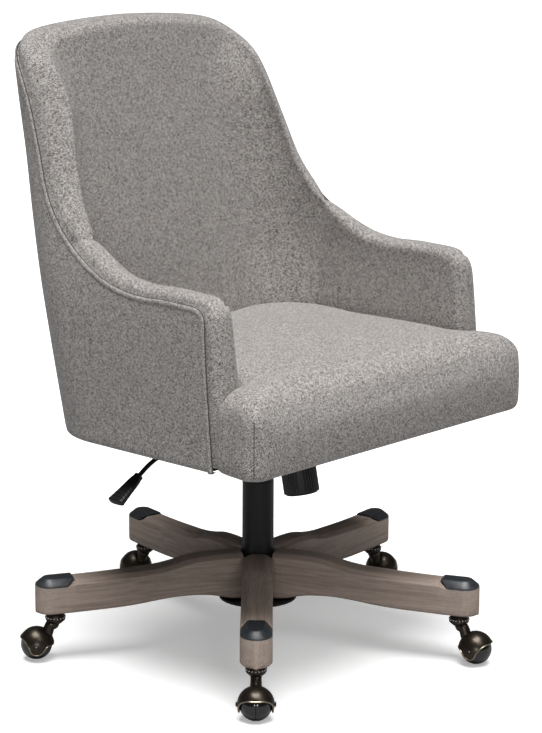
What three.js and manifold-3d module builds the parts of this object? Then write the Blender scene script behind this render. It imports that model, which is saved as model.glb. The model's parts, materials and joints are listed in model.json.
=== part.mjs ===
// Swivel office chair: an upholstered barrel shell on a tilt mechanism and gas lift, over a five-legged
// wooden base with hooded ball casters.
// Millimetres, +Z up. The sitter faces -Y, and +X is the sitter's left-hand side.
// The chair is laid out round its swivel axis (x = 0, y = 0, floor at z = 0). The last lines move the whole
// chair so that the origin is the middle of its footprint on the floor.
import * as THREE from "three";
import { mergeVertices } from "three/addons/utils/BufferGeometryUtils.js";
import Module from "manifold-3d";

const wasm = await Module();
wasm.setup();

// ---------------------------------------------------------------- driving dimensions
const GAP = 0.4; // clearance between pieces that touch
const RUN = 0.5; // clearance round pieces that turn or slide
const FAR = 900; // further than any edge of the chair

const SHELL = 369; // underside of the upholstered shell above the floor

const chair = {
  bottom: SHELL,
  halfWidth: 306,
  seatFront: -281,
  seatOverhang: 4, // how far the seat's front stands out past each side of the shell
  seatEdge: SHELL + 93, // where the seat's upright border starts to roll over
  seatTop: SHELL + 129,
  seatCrown: 9, // rise of the seat's middle above seatTop
};

const shell = {
  // narrowing of each side, rear face, corner radius and thickness of the arms' padding at each height
  levels: [
    { z: SHELL, narrower: 0, rear: 192, corner: 130, pad: 58 },
    { z: SHELL + 131, narrower: 0, rear: 219, corner: 127, pad: 55 },
    { z: SHELL + 231, narrower: 5, rear: 240, corner: 120, pad: 45 },
    { z: SHELL + 321, narrower: 20, rear: 259, corner: 100, pad: 38 },
    { z: SHELL + 417, narrower: 36, rear: 279, corner: 80, pad: 31 },
    { z: SHELL + 493, narrower: 48, rear: 295, corner: 64, pad: 26 },
    { z: SHELL + 641, narrower: 70, rear: 326, corner: 46, pad: 17 },
  ],
  armFrontFoot: -190, // front edge of the arm at the bottom
  armFront: -166, // front edge of the arm at its top
  armCorner: 20, // radius of the arm's front top corner
  armTop: SHELL + 234,
  // y and height above armTop of the edge where the arm sweeps up into the back
  wing: [[-40, 0], [20, 11], [80, 38], [136, 80], [172, 127], [197, 183], [232, 259], [283, 339]],
  topCrown: SHELL + 606, // top of the back at its middle
  topShoulder: SHELL + 586, // top of the back where its corners start
  topCornerRadius: 48,
  panel: 6, // outer covered panel
  frame: 18, // plywood of the arm and back frames
  frameInset: 20, // how far the plywood stops short of the shell's edge
  padRise: 18, // how far the padding stands over the shell's edge
  innerRear: 176, // face of the inside back at seatTop
  innerLean: 0.18,
  innerCorner: 105,
  seam: 112, // where the arm padding meets the back cushion
  weltRadius: 3.4,
  facing: 9, // thickness of the padded piece over the arm's front
};

const board = { thick: 15, rail: 18, railHeight: 52 };

const REACH = 361; // swivel axis to a leg's end
const LEG = 48; // width of a leg

const base = {
  legs: 5,
  firstLeg: 222.4, // degrees from +X, anticlockwise from above
  reach: REACH,
  width: LEG,
  chamfer: 10,
  chamferDrop: 5.5,
  // underside and top along a leg
  stations: [
    { r: 12, under: 74, top: 147 },
    { r: 45, under: 76, top: 148 },
    { r: 86, under: 85, top: 148 },
    { r: 114, under: 87.5, top: 146 },
    { r: 140, under: 87.5, top: 139 },
    { r: 160, under: 86, top: 136 },
    { r: 210, under: 81, top: 132.5 },
    { r: REACH - 71, under: 78.5, top: 130 },
    { r: REACH - LEG / 2, under: 78, top: 130 },
  ],
  capLength: 59,
  capUnder: 121.5,
  capTop: 133,
  capBevel: 11,
  sleeveWall: 2,
  sleeveTop: 143,
  flangeWidth: 4, // how far the flange stands out from the column
  flangeThick: 3,
  plateRadius: 62,
  plateThick: 4,
};

const caster = {
  stemReach: REACH - 31, // stem axis from the swivel axis
  trail: 30, // ball centre from the stem axis
  ball: 24.4,
  ballGap: 1.5,
  hoodWall: 1.6,
  axle: 2.5,
  raceway: 16,
  stem: 4,
  stemSocketDepth: 30,
  // how far each caster has swivelled from straight out, in degrees, anticlockwise from above
  turns: [0, -11, 0, 0, -13],
};

const column = {
  radius: 25,
  wall: 1.8,
  bottom: 58,
  top: 262,
  floor: 3,
  bushLength: 80,
};

const lift = {
  radius: 14,
  wall: 2.4,
  bottom: 104,
  top: SHELL - 35,
  endWall: 8,
  rod: 4,
  pistonPlay: 0.8, // clearance of the piston in the cylinder
  pistonHeight: 200,
  pistonThick: 9,
  bearing: 11,
  bearingThick: 4,
  button: 3.2,
  buttonRise: 4.2,
};

const tilt = {
  halfWidth: 38,
  front: -118,
  rear: 48,
  floor: SHELL - 51,
  wall: 2.5,
  rim: SHELL - 4,
  rearRim: SHELL - 25,
  axleY: -25,
  axleZ: SHELL - 19,
  axle: 5,
  cupWall: 3,
  cupBottom: SHELL - 67,
  plateThick: 3,
  plateHalf: 82,
  plateFront: -112,
  plateRear: 96,
  spring: 10,
  springWire: 2.1,
  springTurns: 3,
  springPitch: 5,
};

const knob = {
  foot: [0, -93, SHELL - 112], // middle of the knob's lower face
  lean: 12, // degrees, lower end forwards
  radius: 28,
  rib: 1.3,
  ribs: 16,
  height: 45,
  bolt: 5,
  boltTop: 106,
  barAt: 90,
  bar: [44, 13, 8],
};

const lever = {
  y: 0,
  z: SHELL - 27,
  pivotX: -22,
  rod: 3.5,
  innerEnd: 12,
  bendX: -228,
  droop: 32, // degrees below level
  dropLength: 56,
  paddle: 60,
  paddleInner: [17, 13],
  paddleOuter: [30, 14],
  lockBar: [8, 20, 20],
};

// ---------------------------------------------------------------- solids
const rad = THREE.MathUtils.degToRad;
const lerp = THREE.MathUtils.lerp;

// A closed three.js geometry as a manifold solid.
function solid(geometry) {
  const bare = geometry.index ? geometry.toNonIndexed() : geometry.clone();
  bare.deleteAttribute("normal");
  bare.deleteAttribute("uv");
  const merged = mergeVertices(bare, 1e-4);
  return new wasm.Manifold(
    new wasm.Mesh({
      numProp: 3,
      vertProperties: merged.attributes.position.array,
      triVerts: new Uint32Array(merged.index.array),
    }),
  );
}

// A manifold solid as a three.js geometry.
function geometryOf(manifold) {
  const mesh = manifold.getMesh();
  const geometry = new THREE.BufferGeometry();
  geometry.setAttribute("position", new THREE.BufferAttribute(new Float32Array(mesh.vertProperties), 3));
  geometry.setIndex(new THREE.BufferAttribute(new Uint32Array(mesh.triVerts), 1));
  geometry.computeVertexNormals();
  return geometry;
}

const join = (first, ...others) => others.reduce((sum, piece) => sum.add(piece), first);
const cut = (first, ...others) => others.reduce((rest, piece) => rest.subtract(piece), first);

// A closed solid lofted through rings that hold the same number of points. The end rings are capped.
function loft(rings) {
  const count = rings[0].length;
  const positions = rings.flat().flatMap((p) => [p.x, p.y, p.z]);
  const index = [];
  for (let r = 0; r + 1 < rings.length; r++)
    for (let i = 0; i < count; i++) {
      const j = (i + 1) % count;
      const low = r * count;
      index.push(low + i, low + j, low + count + j, low + i, low + count + j, low + count + i);
    }
  const cap = (ring, offset, flip) => {
    const [a, b] = flatAxes(ring);
    const flat = ring.map((p) => new THREE.Vector2(p.getComponent(a), p.getComponent(b)));
    const turned = THREE.ShapeUtils.isClockWise(flat);
    const order = flat.map((_, i) => (turned ? count - 1 - i : i));
    for (const face of THREE.ShapeUtils.triangulateShape(order.map((i) => flat[i]), [])) {
      const [p, q, s] = face.map((i) => offset + order[i]);
      index.push(...(turned === flip ? [p, q, s] : [p, s, q]));
    }
  };
  cap(rings[0], 0, true);
  cap(rings[rings.length - 1], (rings.length - 1) * count, false);
  const geometry = new THREE.BufferGeometry();
  geometry.setAttribute("position", new THREE.Float32BufferAttribute(positions, 3));
  geometry.setIndex(index);
  const made = solid(geometry);
  return made.volume() > 0 ? made : solid(reversed(geometry));
}

function reversed(geometry) {
  const index = geometry.index.array;
  for (let i = 0; i < index.length; i += 3) [index[i + 1], index[i + 2]] = [index[i + 2], index[i + 1]];
  return geometry;
}

// The two axes along which a nearly flat ring spreads most.
function flatAxes(ring) {
  const size = new THREE.Box3().setFromPoints(ring).getSize(new THREE.Vector3());
  const axes = [0, 1, 2].sort((a, b) => size.getComponent(b) - size.getComponent(a));
  return axes.slice(0, 2).sort();
}

// A solid turned round Z, from a closed profile of [radius, z] points.
function turned(profile, sides = 32) {
  const points = [...profile, profile[0]].map(([r, z]) => new THREE.Vector2(r, z));
  const made = new THREE.LatheGeometry(points, sides).rotateX(Math.PI / 2);
  const lathe = solidOrReversed(made);
  return lathe;
}

function solidOrReversed(geometry) {
  const bare = geometry.clone();
  bare.deleteAttribute("normal");
  bare.deleteAttribute("uv");
  const merged = mergeVertices(bare, 1e-4);
  merged.setIndex(realFaces(merged.index.array));
  const made = solid(merged);
  return made.volume() > 0 ? made : solid(reversed(merged));
}

// Faces that keep three different corners, once the points on a pole are merged.
function realFaces(index) {
  const kept = [];
  for (let i = 0; i < index.length; i += 3) {
    const [a, b, c] = [index[i], index[i + 1], index[i + 2]];
    if (a !== b && b !== c && c !== a) kept.push(a, b, c);
  }
  return kept;
}

const rod = (radius, low, high, sides = 24) =>
  turned([[0, low], [radius, low], [radius, high], [0, high]], sides);
const tube = (outer, inner, low, high, sides = 32) =>
  turned([[inner, low], [outer, low], [outer, high], [inner, high]], sides);

function block(x0, x1, y0, y1, z0, z1) {
  const box = new THREE.BoxGeometry(x1 - x0, y1 - y0, z1 - z0);
  return solid(box.translate((x0 + x1) / 2, (y0 + y1) / 2, (z0 + z1) / 2));
}

// An outline of [a, b] points pushed along an axis from one place to another.
function prism(outline, axis, from, to) {
  const shape = new THREE.Shape(outline.map(([a, b]) => new THREE.Vector2(a, b)));
  const geometry = new THREE.ExtrudeGeometry(shape, { depth: to - from, bevelEnabled: false });
  geometry.translate(0, 0, from);
  if (axis === "x") geometry.applyMatrix4(new THREE.Matrix4().set(0, 0, 1, 0, 1, 0, 0, 0, 0, 1, 0, 0, 0, 0, 0, 1));
  if (axis === "y") geometry.applyMatrix4(new THREE.Matrix4().set(1, 0, 0, 0, 0, 0, 1, 0, 0, 1, 0, 0, 0, 0, 0, 1));
  return solidOrReversed(geometry);
}

// A round bar or cord along a curve.
function bar(curve, radius, steps, sides = 8) {
  const shape = new THREE.Shape().setFromPoints(circle(radius, sides));
  const geometry = new THREE.ExtrudeGeometry(shape, { extrudePath: curve, steps, bevelEnabled: false });
  return solidOrReversed(geometry);
}

function circle(radius, sides) {
  return Array.from({ length: sides }, (_, i) => {
    const a = (i / sides) * 2 * Math.PI;
    return new THREE.Vector2(radius * Math.cos(a), radius * Math.sin(a));
  });
}

const chairGroup = new THREE.Group();
chairGroup.name = "swivel_office_chair";

function add(name, manifold, finish, parent = chairGroup) {
  const mesh = new THREE.Mesh(geometryOf(manifold), finish());
  mesh.name = name;
  parent.add(mesh);
  return mesh;
}

// ---------------------------------------------------------------- finishes
const finish = (color, roughness, metalness) => () =>
  new THREE.MeshStandardMaterial({ color, roughness, metalness });
const fabric = finish("#8f8a86", 0.95, 0);
const weltFabric = finish("#87827e", 0.95, 0);
const plywood = finish("#c9a878", 0.7, 0);
const greyWood = finish("#8d7d72", 0.65, 0);
const capPlastic = finish("#2b2e31", 0.5, 0);
const blackPlastic = finish("#1c1c1c", 0.45, 0);
const blackSteel = finish("#1a1a1a", 0.4, 0.6);
const springSteel = finish("#55565a", 0.35, 0.9);
const brightSteel = finish("#a8a9ab", 0.25, 1);
const bronze = finish("#4d443b", 0.35, 0.9);
const ballFinish = finish("#101010", 0.15, 0);
const cambric = finish("#151515", 0.95, 0);

// ---------------------------------------------------------------- shell surfaces
// The shell's sizes at one height, between the levels given above.
function levelAt(z) {
  const levels = shell.levels;
  let i = 0;
  while (i < levels.length - 2 && z > levels[i + 1].z) i++;
  const t = (z - levels[i].z) / (levels[i + 1].z - levels[i].z);
  const mix = (key) => lerp(levels[i][key], levels[i + 1][key], t);
  const half = chair.halfWidth - mix("narrower");
  return { half, rear: mix("rear"), corner: mix("corner"), pad: mix("pad") };
}

// A rounded U in plan, closed across its front.
function uRing(z, half, rear, corner, front, arcSteps = 6) {
  const left = [new THREE.Vector3(-half, front, z)];
  for (let i = 0; i <= arcSteps; i++) {
    const a = Math.PI - (i / arcSteps) * (Math.PI / 2);
    const x = corner * Math.cos(a) - (half - corner);
    left.push(new THREE.Vector3(x, rear - corner + corner * Math.sin(a), z));
  }
  const right = left.map((p) => new THREE.Vector3(-p.x, p.y, p.z)).reverse();
  return [...left, ...right];
}

const shellHeights = shell.levels.map((level) => level.z);

// The block inside the shell's outer face, stepped in by an inset.
function outerBlock(inset, low = chair.bottom, front = -400) {
  const rings = [low, ...shellHeights.filter((z) => z > low + 1)].map((z) => {
    const at = levelAt(z);
    return uRing(z, at.half - inset, at.rear - inset, at.corner - inset * 0.8, front);
  });
  return loft(rings);
}

// The room inside the padding: where a sitter's back and arms go.
function roomBlock(low) {
  const rings = [low, ...shellHeights.filter((z) => z > low + 1)].map((z) => {
    const at = levelAt(z);
    const rear = shell.innerRear + shell.innerLean * (z - chair.seatTop);
    return uRing(z, at.half - at.pad, rear, shell.innerCorner, -520);
  });
  return loft(rings);
}

// The shell's edge seen from the side: up the arm's front, along the arm, and up the wing.
function sideEdge() {
  const corner = shell.armCorner;
  const points = [new THREE.Vector2(shell.armFrontFoot, chair.bottom)];
  const centre = new THREE.Vector2(shell.armFront + corner, shell.armTop - corner);
  for (let i = 0; i <= 4; i++) {
    const a = Math.PI - (i / 4) * (Math.PI / 2);
    points.push(new THREE.Vector2(centre.x + corner * Math.cos(a), centre.y + corner * Math.sin(a)));
  }
  const sweep = new THREE.SplineCurve(shell.wing.map(([y, rise]) => new THREE.Vector2(y, shell.armTop + rise)));
  return [...points, ...sweep.getPoints(15)];
}

// How wide the back is at a height near its rounded top corners.
function topHalf(z) {
  const radius = shell.topCornerRadius;
  const rise = Math.min(z - (shell.topShoulder - radius), radius);
  const half = levelAt(z).half;
  if (rise < 0) return half;
  return Math.min(half, levelAt(shell.topShoulder).half - radius + Math.sqrt(radius ** 2 - rise ** 2));
}

// The same edge moved outwards (positive) or inwards.
function offsetEdge(distance) {
  const edge = sideEdge();
  return edge.map((p, i) => {
    const before = edge[Math.max(i - 1, 0)];
    const after = edge[Math.min(i + 1, edge.length - 1)];
    const along = after.clone().sub(before).normalize();
    return new THREE.Vector2(p.x - along.y * distance, p.y + along.x * distance);
  });
}

// Everything below and behind the side edge.
function sideRegion(outset) {
  const edge = offsetEdge(outset).map((p) => [p.x, p.y]);
  const last = edge[edge.length - 1];
  edge[0][1] = chair.bottom - 20;
  const high = shell.topCrown + 65;
  return prism([...edge, [last[0] + 60, high], [FAR, high], [FAR, chair.bottom - 20]], "x", -FAR, FAR);
}

// Everything below the back's top edge, seen from the front.
function backOutline(outset) {
  const half = levelAt(chair.bottom).half + 60;
  const corner = shell.topCornerRadius + outset;
  const shoulder = levelAt(shell.topShoulder).half + outset;
  const flat = shoulder - corner;
  const top = shell.topShoulder + outset;
  const right = [];
  const steps = 6;
  for (let i = 0; i <= steps; i++) {
    const x = (flat * i) / steps;
    right.push([x, top + (shell.topCrown - shell.topShoulder) * (1 - (x / flat) ** 2)]);
  }
  for (let i = 1; i <= steps; i++) {
    const a = Math.PI / 2 - (i / steps) * (Math.PI / 2);
    right.push([flat + corner * Math.cos(a), top - corner + corner * Math.sin(a)]);
  }
  right.push([half, top - corner - 160], [half, chair.bottom - 20]);
  return right;
}

function frontRegion(outset) {
  const right = backOutline(outset);
  const left = right.slice(1).map(([x, z]) => [-x, z]).reverse();
  return prism([...left, ...right], "y", -FAR, FAR);
}

// A layer of the shell between two insets from its outer face, short of its edges by two more.
function layer(outer, inner, sideInset, topInset, low = chair.bottom) {
  const wall = outerBlock(outer, low).subtract(outerBlock(inner, low - 30, -520));
  return wall.intersect(sideRegion(-sideInset)).intersect(frontRegion(-topInset));
}

// ---------------------------------------------------------------- upholstered shell
const frameLow = chair.bottom + tilt.plateThick + GAP; // underside of the plywood

function buildShell() {
  const { panel, frame, frameInset, padRise, seam, weltRadius, facing } = shell;
  const inner = panel + GAP + frame; // inset of the plywood's inner face
  const weltInset = 2 * weltRadius + 6 * GAP; // room for the cord at the edge of the padding
  const side = { right: block(-FAR, 0, -FAR, FAR, 0, 2 * FAR), left: block(0, FAR, -FAR, FAR, 0, 2 * FAR) };

  // The covered panel that wraps the outside of the arms and back, with the piping cord along its edge.
  const weltRoom = weltCord(weltRadius + GAP);
  add("outer_cover", layer(0.6, panel, weltRadius + 2, weltInset).subtract(weltRoom), fabric);
  add("welt", weltCord(weltRadius), weltFabric);

  // Plywood behind it: an arm frame on each side and a back frame between them.
  const plyLayer = layer(panel + GAP, inner, frameInset, frameInset, frameLow);
  const armPly = plyLayer.intersect(block(-FAR, FAR, shell.armFrontFoot + facing + 3, seam - GAP, 0, 2 * FAR));
  for (const [name, half] of Object.entries(side)) add("arm_frame_" + name, armPly.intersect(half), plywood);
  add("back_frame", plyLayer.intersect(block(-FAR, FAR, seam, FAR, 0, 2 * FAR)), plywood);

  // Padding: from the plywood to the room inside, and rolled over the plywood's edge.
  const padLow = frameLow + board.thick + GAP;
  const outside = outerBlock(2, padLow).intersect(sideRegion(padRise)).intersect(frontRegion(0));
  const within = (inset, rim) =>
    outerBlock(-20, padLow - 30)
      .subtract(outerBlock(inset, padLow - 40, -520).intersect(frontRegion(rim)))
      .intersect(sideRegion(weltRadius + 5 * GAP));
  const coverRoom = within(weltInset, -weltInset);
  const plyRoom = within(inner + GAP, 50).intersect(frontRegion(-padRise));
  const padding = cut(outside, roomBlock(padLow - 10), coverRoom, plyRoom, weltRoom);
  const arms = padding
    .intersect(block(-FAR, FAR, -FAR, seam - GAP, 0, 2 * FAR))
    .intersect(frontCut(facing + GAP, true));
  for (const [name, half] of Object.entries(side)) add("arm_pad_" + name, arms.intersect(half), fabric);
  add("back_cushion", padding.intersect(block(-FAR, FAR, seam + GAP, FAR, 0, 2 * FAR)), fabric);

  // The padded piece over the front of each arm.
  const facingLow = chair.seatTop + 3;
  const face = cut(outerBlock(weltInset, facingLow), roomBlock(facingLow - 10), weltRoom)
    .intersect(frontCut(facing, false))
    .intersect(frontCut(0, true))
    .intersect(sideRegion(padRise - 3));
  for (const [name, half] of Object.entries(side)) add("arm_facing_" + name, face.intersect(half), fabric);
}

// A slab of space behind (true) or in front of a plane that follows the arm's leaning front edge.
function frontCut(back, behind) {
  const foot = shell.armFrontFoot + back;
  const lean = (shell.armFront - shell.armFrontFoot) / (shell.armTop - chair.bottom);
  const [low, high] = [chair.bottom - 60, chair.bottom + FAR];
  const at = (z) => foot + lean * (z - chair.bottom);
  const far = behind ? FAR : -FAR;
  return prism([[at(low), low], [at(high), high], [far, high], [far, low]], "x", -FAR, FAR);
}

// The piping cord along the whole edge of the outer cover, or the room that it needs.
function weltCord(radius) {
  const r = shell.weltRadius;
  const side = sideEdge().map((p) => new THREE.Vector3(-(topHalf(p.y) - r - 0.3), p.x, p.y));
  const last = side[side.length - 1];
  const top = backOutline(-r)
    .filter(([x, z]) => x < -last.x - 4 && z > last.z)
    .reverse()
    .map(([x, z]) => {
      const t = Math.min(1, (-last.x - x) / 30);
      return new THREE.Vector3(-x, lerp(last.y, levelAt(z).rear - r - 0.3, t), z);
    });
  const half = [...side, ...top];
  const whole = [...half, ...half.slice(0, -1).map((p) => new THREE.Vector3(-p.x, p.y, p.z)).reverse()];
  whole[0].z = whole[whole.length - 1].z = chair.bottom + 1;
  return bar(new THREE.CatmullRomCurve3(whole, false, "centripetal"), radius, 84, 5);
}

// ---------------------------------------------------------------- seat
function buildSeat() {
  const boardTop = frameLow + board.thick;
  const at = levelAt(frameLow);
  const inset = shell.panel + shell.frame + 3 * GAP + 1;
  const halfWidth = at.half - inset;
  const deckU = (more, front, low, high) => {
    const rear = at.rear - inset + more;
    const corner = at.corner - inset * 0.8 + more;
    return loft([low, high].map((z) => uRing(z, halfWidth + more, rear, corner, front)));
  };

  // Plywood board with an upright rail behind the seat's front border.
  const railFront = chair.seatFront + 20;
  const railTop = frameLow + board.railHeight;
  const deck = deckU(0, railFront, frameLow, boardTop);
  const rail = block(-halfWidth, halfWidth, railFront, railFront + board.rail, frameLow, railTop);
  add("seat_frame", join(deck, rail), plywood);

  // One soft T-shaped cushion: full width in front of the arms, narrower between them.
  const room = levelAt(chair.seatTop);
  const low = levelAt(boardTop);
  const half = Math.min(room.half - room.pad, low.half - low.pad) - 3;
  const rear = shell.innerRear - shell.innerLean * (chair.seatTop - boardTop) - 3;
  const crown = chair.seatTop + chair.seatCrown;
  const body = cushionBlock(half, chair.seatFront, rear, shell.innerCorner, boardTop + GAP, crown);
  const earHalf = chair.halfWidth + chair.seatOverhang;
  const earRear = shell.armFrontFoot - 3;
  const ears = cushionBlock(earHalf, chair.seatFront, earRear, 30, chair.bottom + 0.5, chair.seatTop + 0.5);
  const under = chair.bottom - 60;
  const boardRoom = block(-halfWidth - 1, halfWidth + 1, railFront - 1, FAR, under, boardTop + GAP);
  const railRear = railFront + board.rail + 1;
  const railRoom = block(-halfWidth - 1, halfWidth + 1, railFront - 1, railRear, under, railTop + 1);
  add("seat_cushion", cut(join(body, ears), boardRoom, railRoom), fabric);

  // Black cloth stapled under the frame, open where the steel plate bolts on.
  const clothLow = frameLow - 2.4;
  const clothTop = frameLow - GAP;
  const cloth = join(
    deckU(16, shell.armFrontFoot + 3, clothLow, clothTop),
    block(-halfWidth, halfWidth, railFront, shell.armFrontFoot + 4, clothLow, clothTop),
  );
  const { plateHalf, plateFront, plateRear } = tilt;
  const opening = block(-plateHalf - 3, plateHalf + 3, plateFront - 3, plateRear + 3, under, boardTop);
  add("dust_cover", cut(cloth, opening), cambric);
}

// A block with upright sides that roll over into a crowned top, with larger corners at its rear.
function cushionBlock(half, front, rear, rearCorner, low, crown) {
  const roll = chair.seatTop - chair.seatEdge;
  const rings = [[0, low]];
  for (let i = 0; i <= 3; i++) {
    const a = (i / 3) * (Math.PI / 2);
    rings.push([roll * (1 - Math.cos(a)), chair.seatEdge + roll * Math.sin(a)]);
  }
  const crownAt = 0.45;
  const middle = (front + rear) / 2;
  rings.push([roll + crownAt * (Math.min(half, (rear - front) / 2) - roll), crown]);
  return loft(rings.map(([inset, z]) => {
    const halfY = (rear - front) / 2 - inset;
    return roundRect(half - inset, middle, halfY, Math.max(30 - inset, 8), Math.max(rearCorner - inset, 8), z);
  }));
}

function roundRect(halfX, middleY, halfY, frontCorner, rearCorner, z, steps = 4) {
  const ring = [];
  for (const [sx, sy, start] of [[1, 1, 0], [-1, 1, 1], [-1, -1, 2], [1, -1, 3]]) {
    const c = Math.min(sy > 0 ? rearCorner : frontCorner, halfX * 0.9, halfY * 0.9);
    for (let i = 0; i <= steps; i++) {
      const a = ((start + i / steps) * Math.PI) / 2;
      const x = sx * (halfX - c) + c * Math.cos(a);
      ring.push(new THREE.Vector3(x, middleY + sy * (halfY - c) + c * Math.sin(a), z));
    }
  }
  return ring;
}

// ---------------------------------------------------------------- tilt mechanism
const along = new THREE.Vector3(0, Math.sin(rad(knob.lean)), Math.cos(rad(knob.lean))); // up the knob's axis

// A group whose own Z runs up the tension knob's axis, with its origin in the knob's lower face.
function knobGroup() {
  const group = new THREE.Group();
  group.position.set(...knob.foot);
  group.rotation.x = -rad(knob.lean);
  chairGroup.add(group);
  return group;
}

// The same placing for a solid that is cut from a piece outside the group.
function placedOnKnobAxis(manifold) {
  const geometry = geometryOf(manifold);
  geometry.rotateX(-rad(knob.lean)).translate(...knob.foot);
  return solid(geometry);
}

const alongX = (manifold) => solid(geometryOf(manifold).rotateY(Math.PI / 2));

function buildTilt() {
  const { halfWidth: w, front, rear, floor, wall, rim, rearRim, axleY, axleZ, axle } = tilt;
  const above = chair.bottom + 60;
  const under = chair.bottom + GAP; // underside of the seat plate

  // Pressed steel housing: a channel open at the top, with a cup for the gas lift.
  const outline = [[front, floor], [rear, floor], [rear, rearRim], [axleY + 14, rim], [front, rim]];
  const inside = [
    [front + wall, floor + wall],
    [rear - wall, floor + wall],
    [rear - wall, above],
    [front + wall, above],
  ];
  const channel = prism(outline, "x", -w, w).subtract(prism(inside, "x", -w + wall, w - wall));
  const cup = rod(lift.radius + GAP + tilt.cupWall, tilt.cupBottom, lift.top);
  const liftRoom = rod(lift.radius + GAP, tilt.cupBottom - 20, lift.top + 40);
  const axleHole = alongX(rod(axle + GAP, -w - 10, w + 10)).translate([0, axleY, axleZ]);
  const boltHole = placedOnKnobAxis(rod(knob.bolt + 1.5, 30, 75));
  const leverSlot = block(-w - 5, -w + wall + 5, -6, 6, lever.z - 7, lever.z + 7);
  add("tilt_housing", cut(join(channel, cup), liftRoom, axleHole, boltHole, leverSlot), blackSteel);

  add("tilt_axle", alongX(rod(axle, -w - 6, w + 6)).translate([0, axleY, axleZ]), brightSteel);

  // Seat plate: a flat plate with two ears that hang on the axle.
  const earIn = w + RUN;
  const ear = (side) => {
    const x0 = side > 0 ? earIn : -earIn - wall;
    const low = axleZ - axle - 6;
    const profile = [[axleY - 18, under + 1], [axleY - 10, low], [axleY + 10, low], [axleY + 18, under + 1]];
    return prism(profile, "x", x0, x0 + wall);
  };
  const flat = block(-tilt.plateHalf, tilt.plateHalf, tilt.plateFront, tilt.plateRear, under, under + tilt.plateThick);
  const earHole = alongX(rod(axle + GAP, -w - 20, w + 20)).translate([0, axleY, axleZ]);
  const slots = [];
  for (const x of [-1, 1])
    for (const y of [tilt.plateFront + 22, tilt.plateRear - 22])
      slots.push(block(x * 66 - 4, x * 66 + 4, y - 9, y + 9, under - 5, under + 10));
  const window = block(-24, 24, -96, -52, under - 5, under + 10); // lets the tension bolt's end through
  add("seat_plate", cut(join(flat, ear(1), ear(-1)), earHole, window, ...slots), blackSteel);

  // Torsion spring wound round the axle, with a leg reaching forwards over the tension bar.
  add("tension_spring", torsionSpring(), springSteel);
}

function torsionSpring() {
  const { spring: r, springTurns, springPitch: pitch, axleY, axleZ } = tilt;
  const points = [];
  const perTurn = 10;
  const width = springTurns * pitch;
  points.push(new THREE.Vector3(-width / 2, axleY - 48, axleZ + r - 1));
  points.push(new THREE.Vector3(-width / 2, axleY - 14, axleZ + r));
  for (let i = 0; i <= springTurns * perTurn; i++) {
    const a = Math.PI / 2 - (i / perTurn) * 2 * Math.PI;
    points.push(
      new THREE.Vector3(-width / 2 + (i / perTurn) * pitch, axleY + r * Math.cos(a), axleZ + r * Math.sin(a)),
    );
  }
  points.push(new THREE.Vector3(width / 2, axleY - 16, axleZ + r));
  return bar(new THREE.CatmullRomCurve3(points, false, "centripetal"), tilt.springWire, 52, 5);
}

function buildKnob() {
  const group = knobGroup();
  const { radius, rib, ribs, height } = knob;
  const star = (scale) =>
    Array.from({ length: ribs * 4 }, (_, i) => {
      const a = (i / (ribs * 4)) * 2 * Math.PI;
      const r = (i % 4 < 2 ? radius : radius - rib) * scale;
      return [r * Math.cos(a), r * Math.sin(a)];
    });
  const ring = (scale, z) => star(scale).map(([x, y]) => new THREE.Vector3(x, y, z));
  const grip = loft([ring(0.92, 0), ring(1, 3), ring(0.96, height)]);
  const hollow = rod(radius - 6, height - 26, height + 10);
  const core = rod(11, 10, height);
  const bore = rod(knob.bolt + GAP, 16, height + 10);
  add("tension_knob", cut(join(grip.subtract(hollow), core), bore), blackPlastic, group);
  add("tension_bolt", rod(knob.bolt, 16 + GAP, knob.boltTop, 16), brightSteel, group);
  const [bx, by, bz] = knob.bar;
  const nut = block(-bx / 2, bx / 2, -by / 2, by / 2, knob.barAt, knob.barAt + bz);
  add("tension_bar", nut.subtract(rod(knob.bolt + GAP, 60, 130)), blackSteel, group);
}

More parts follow.
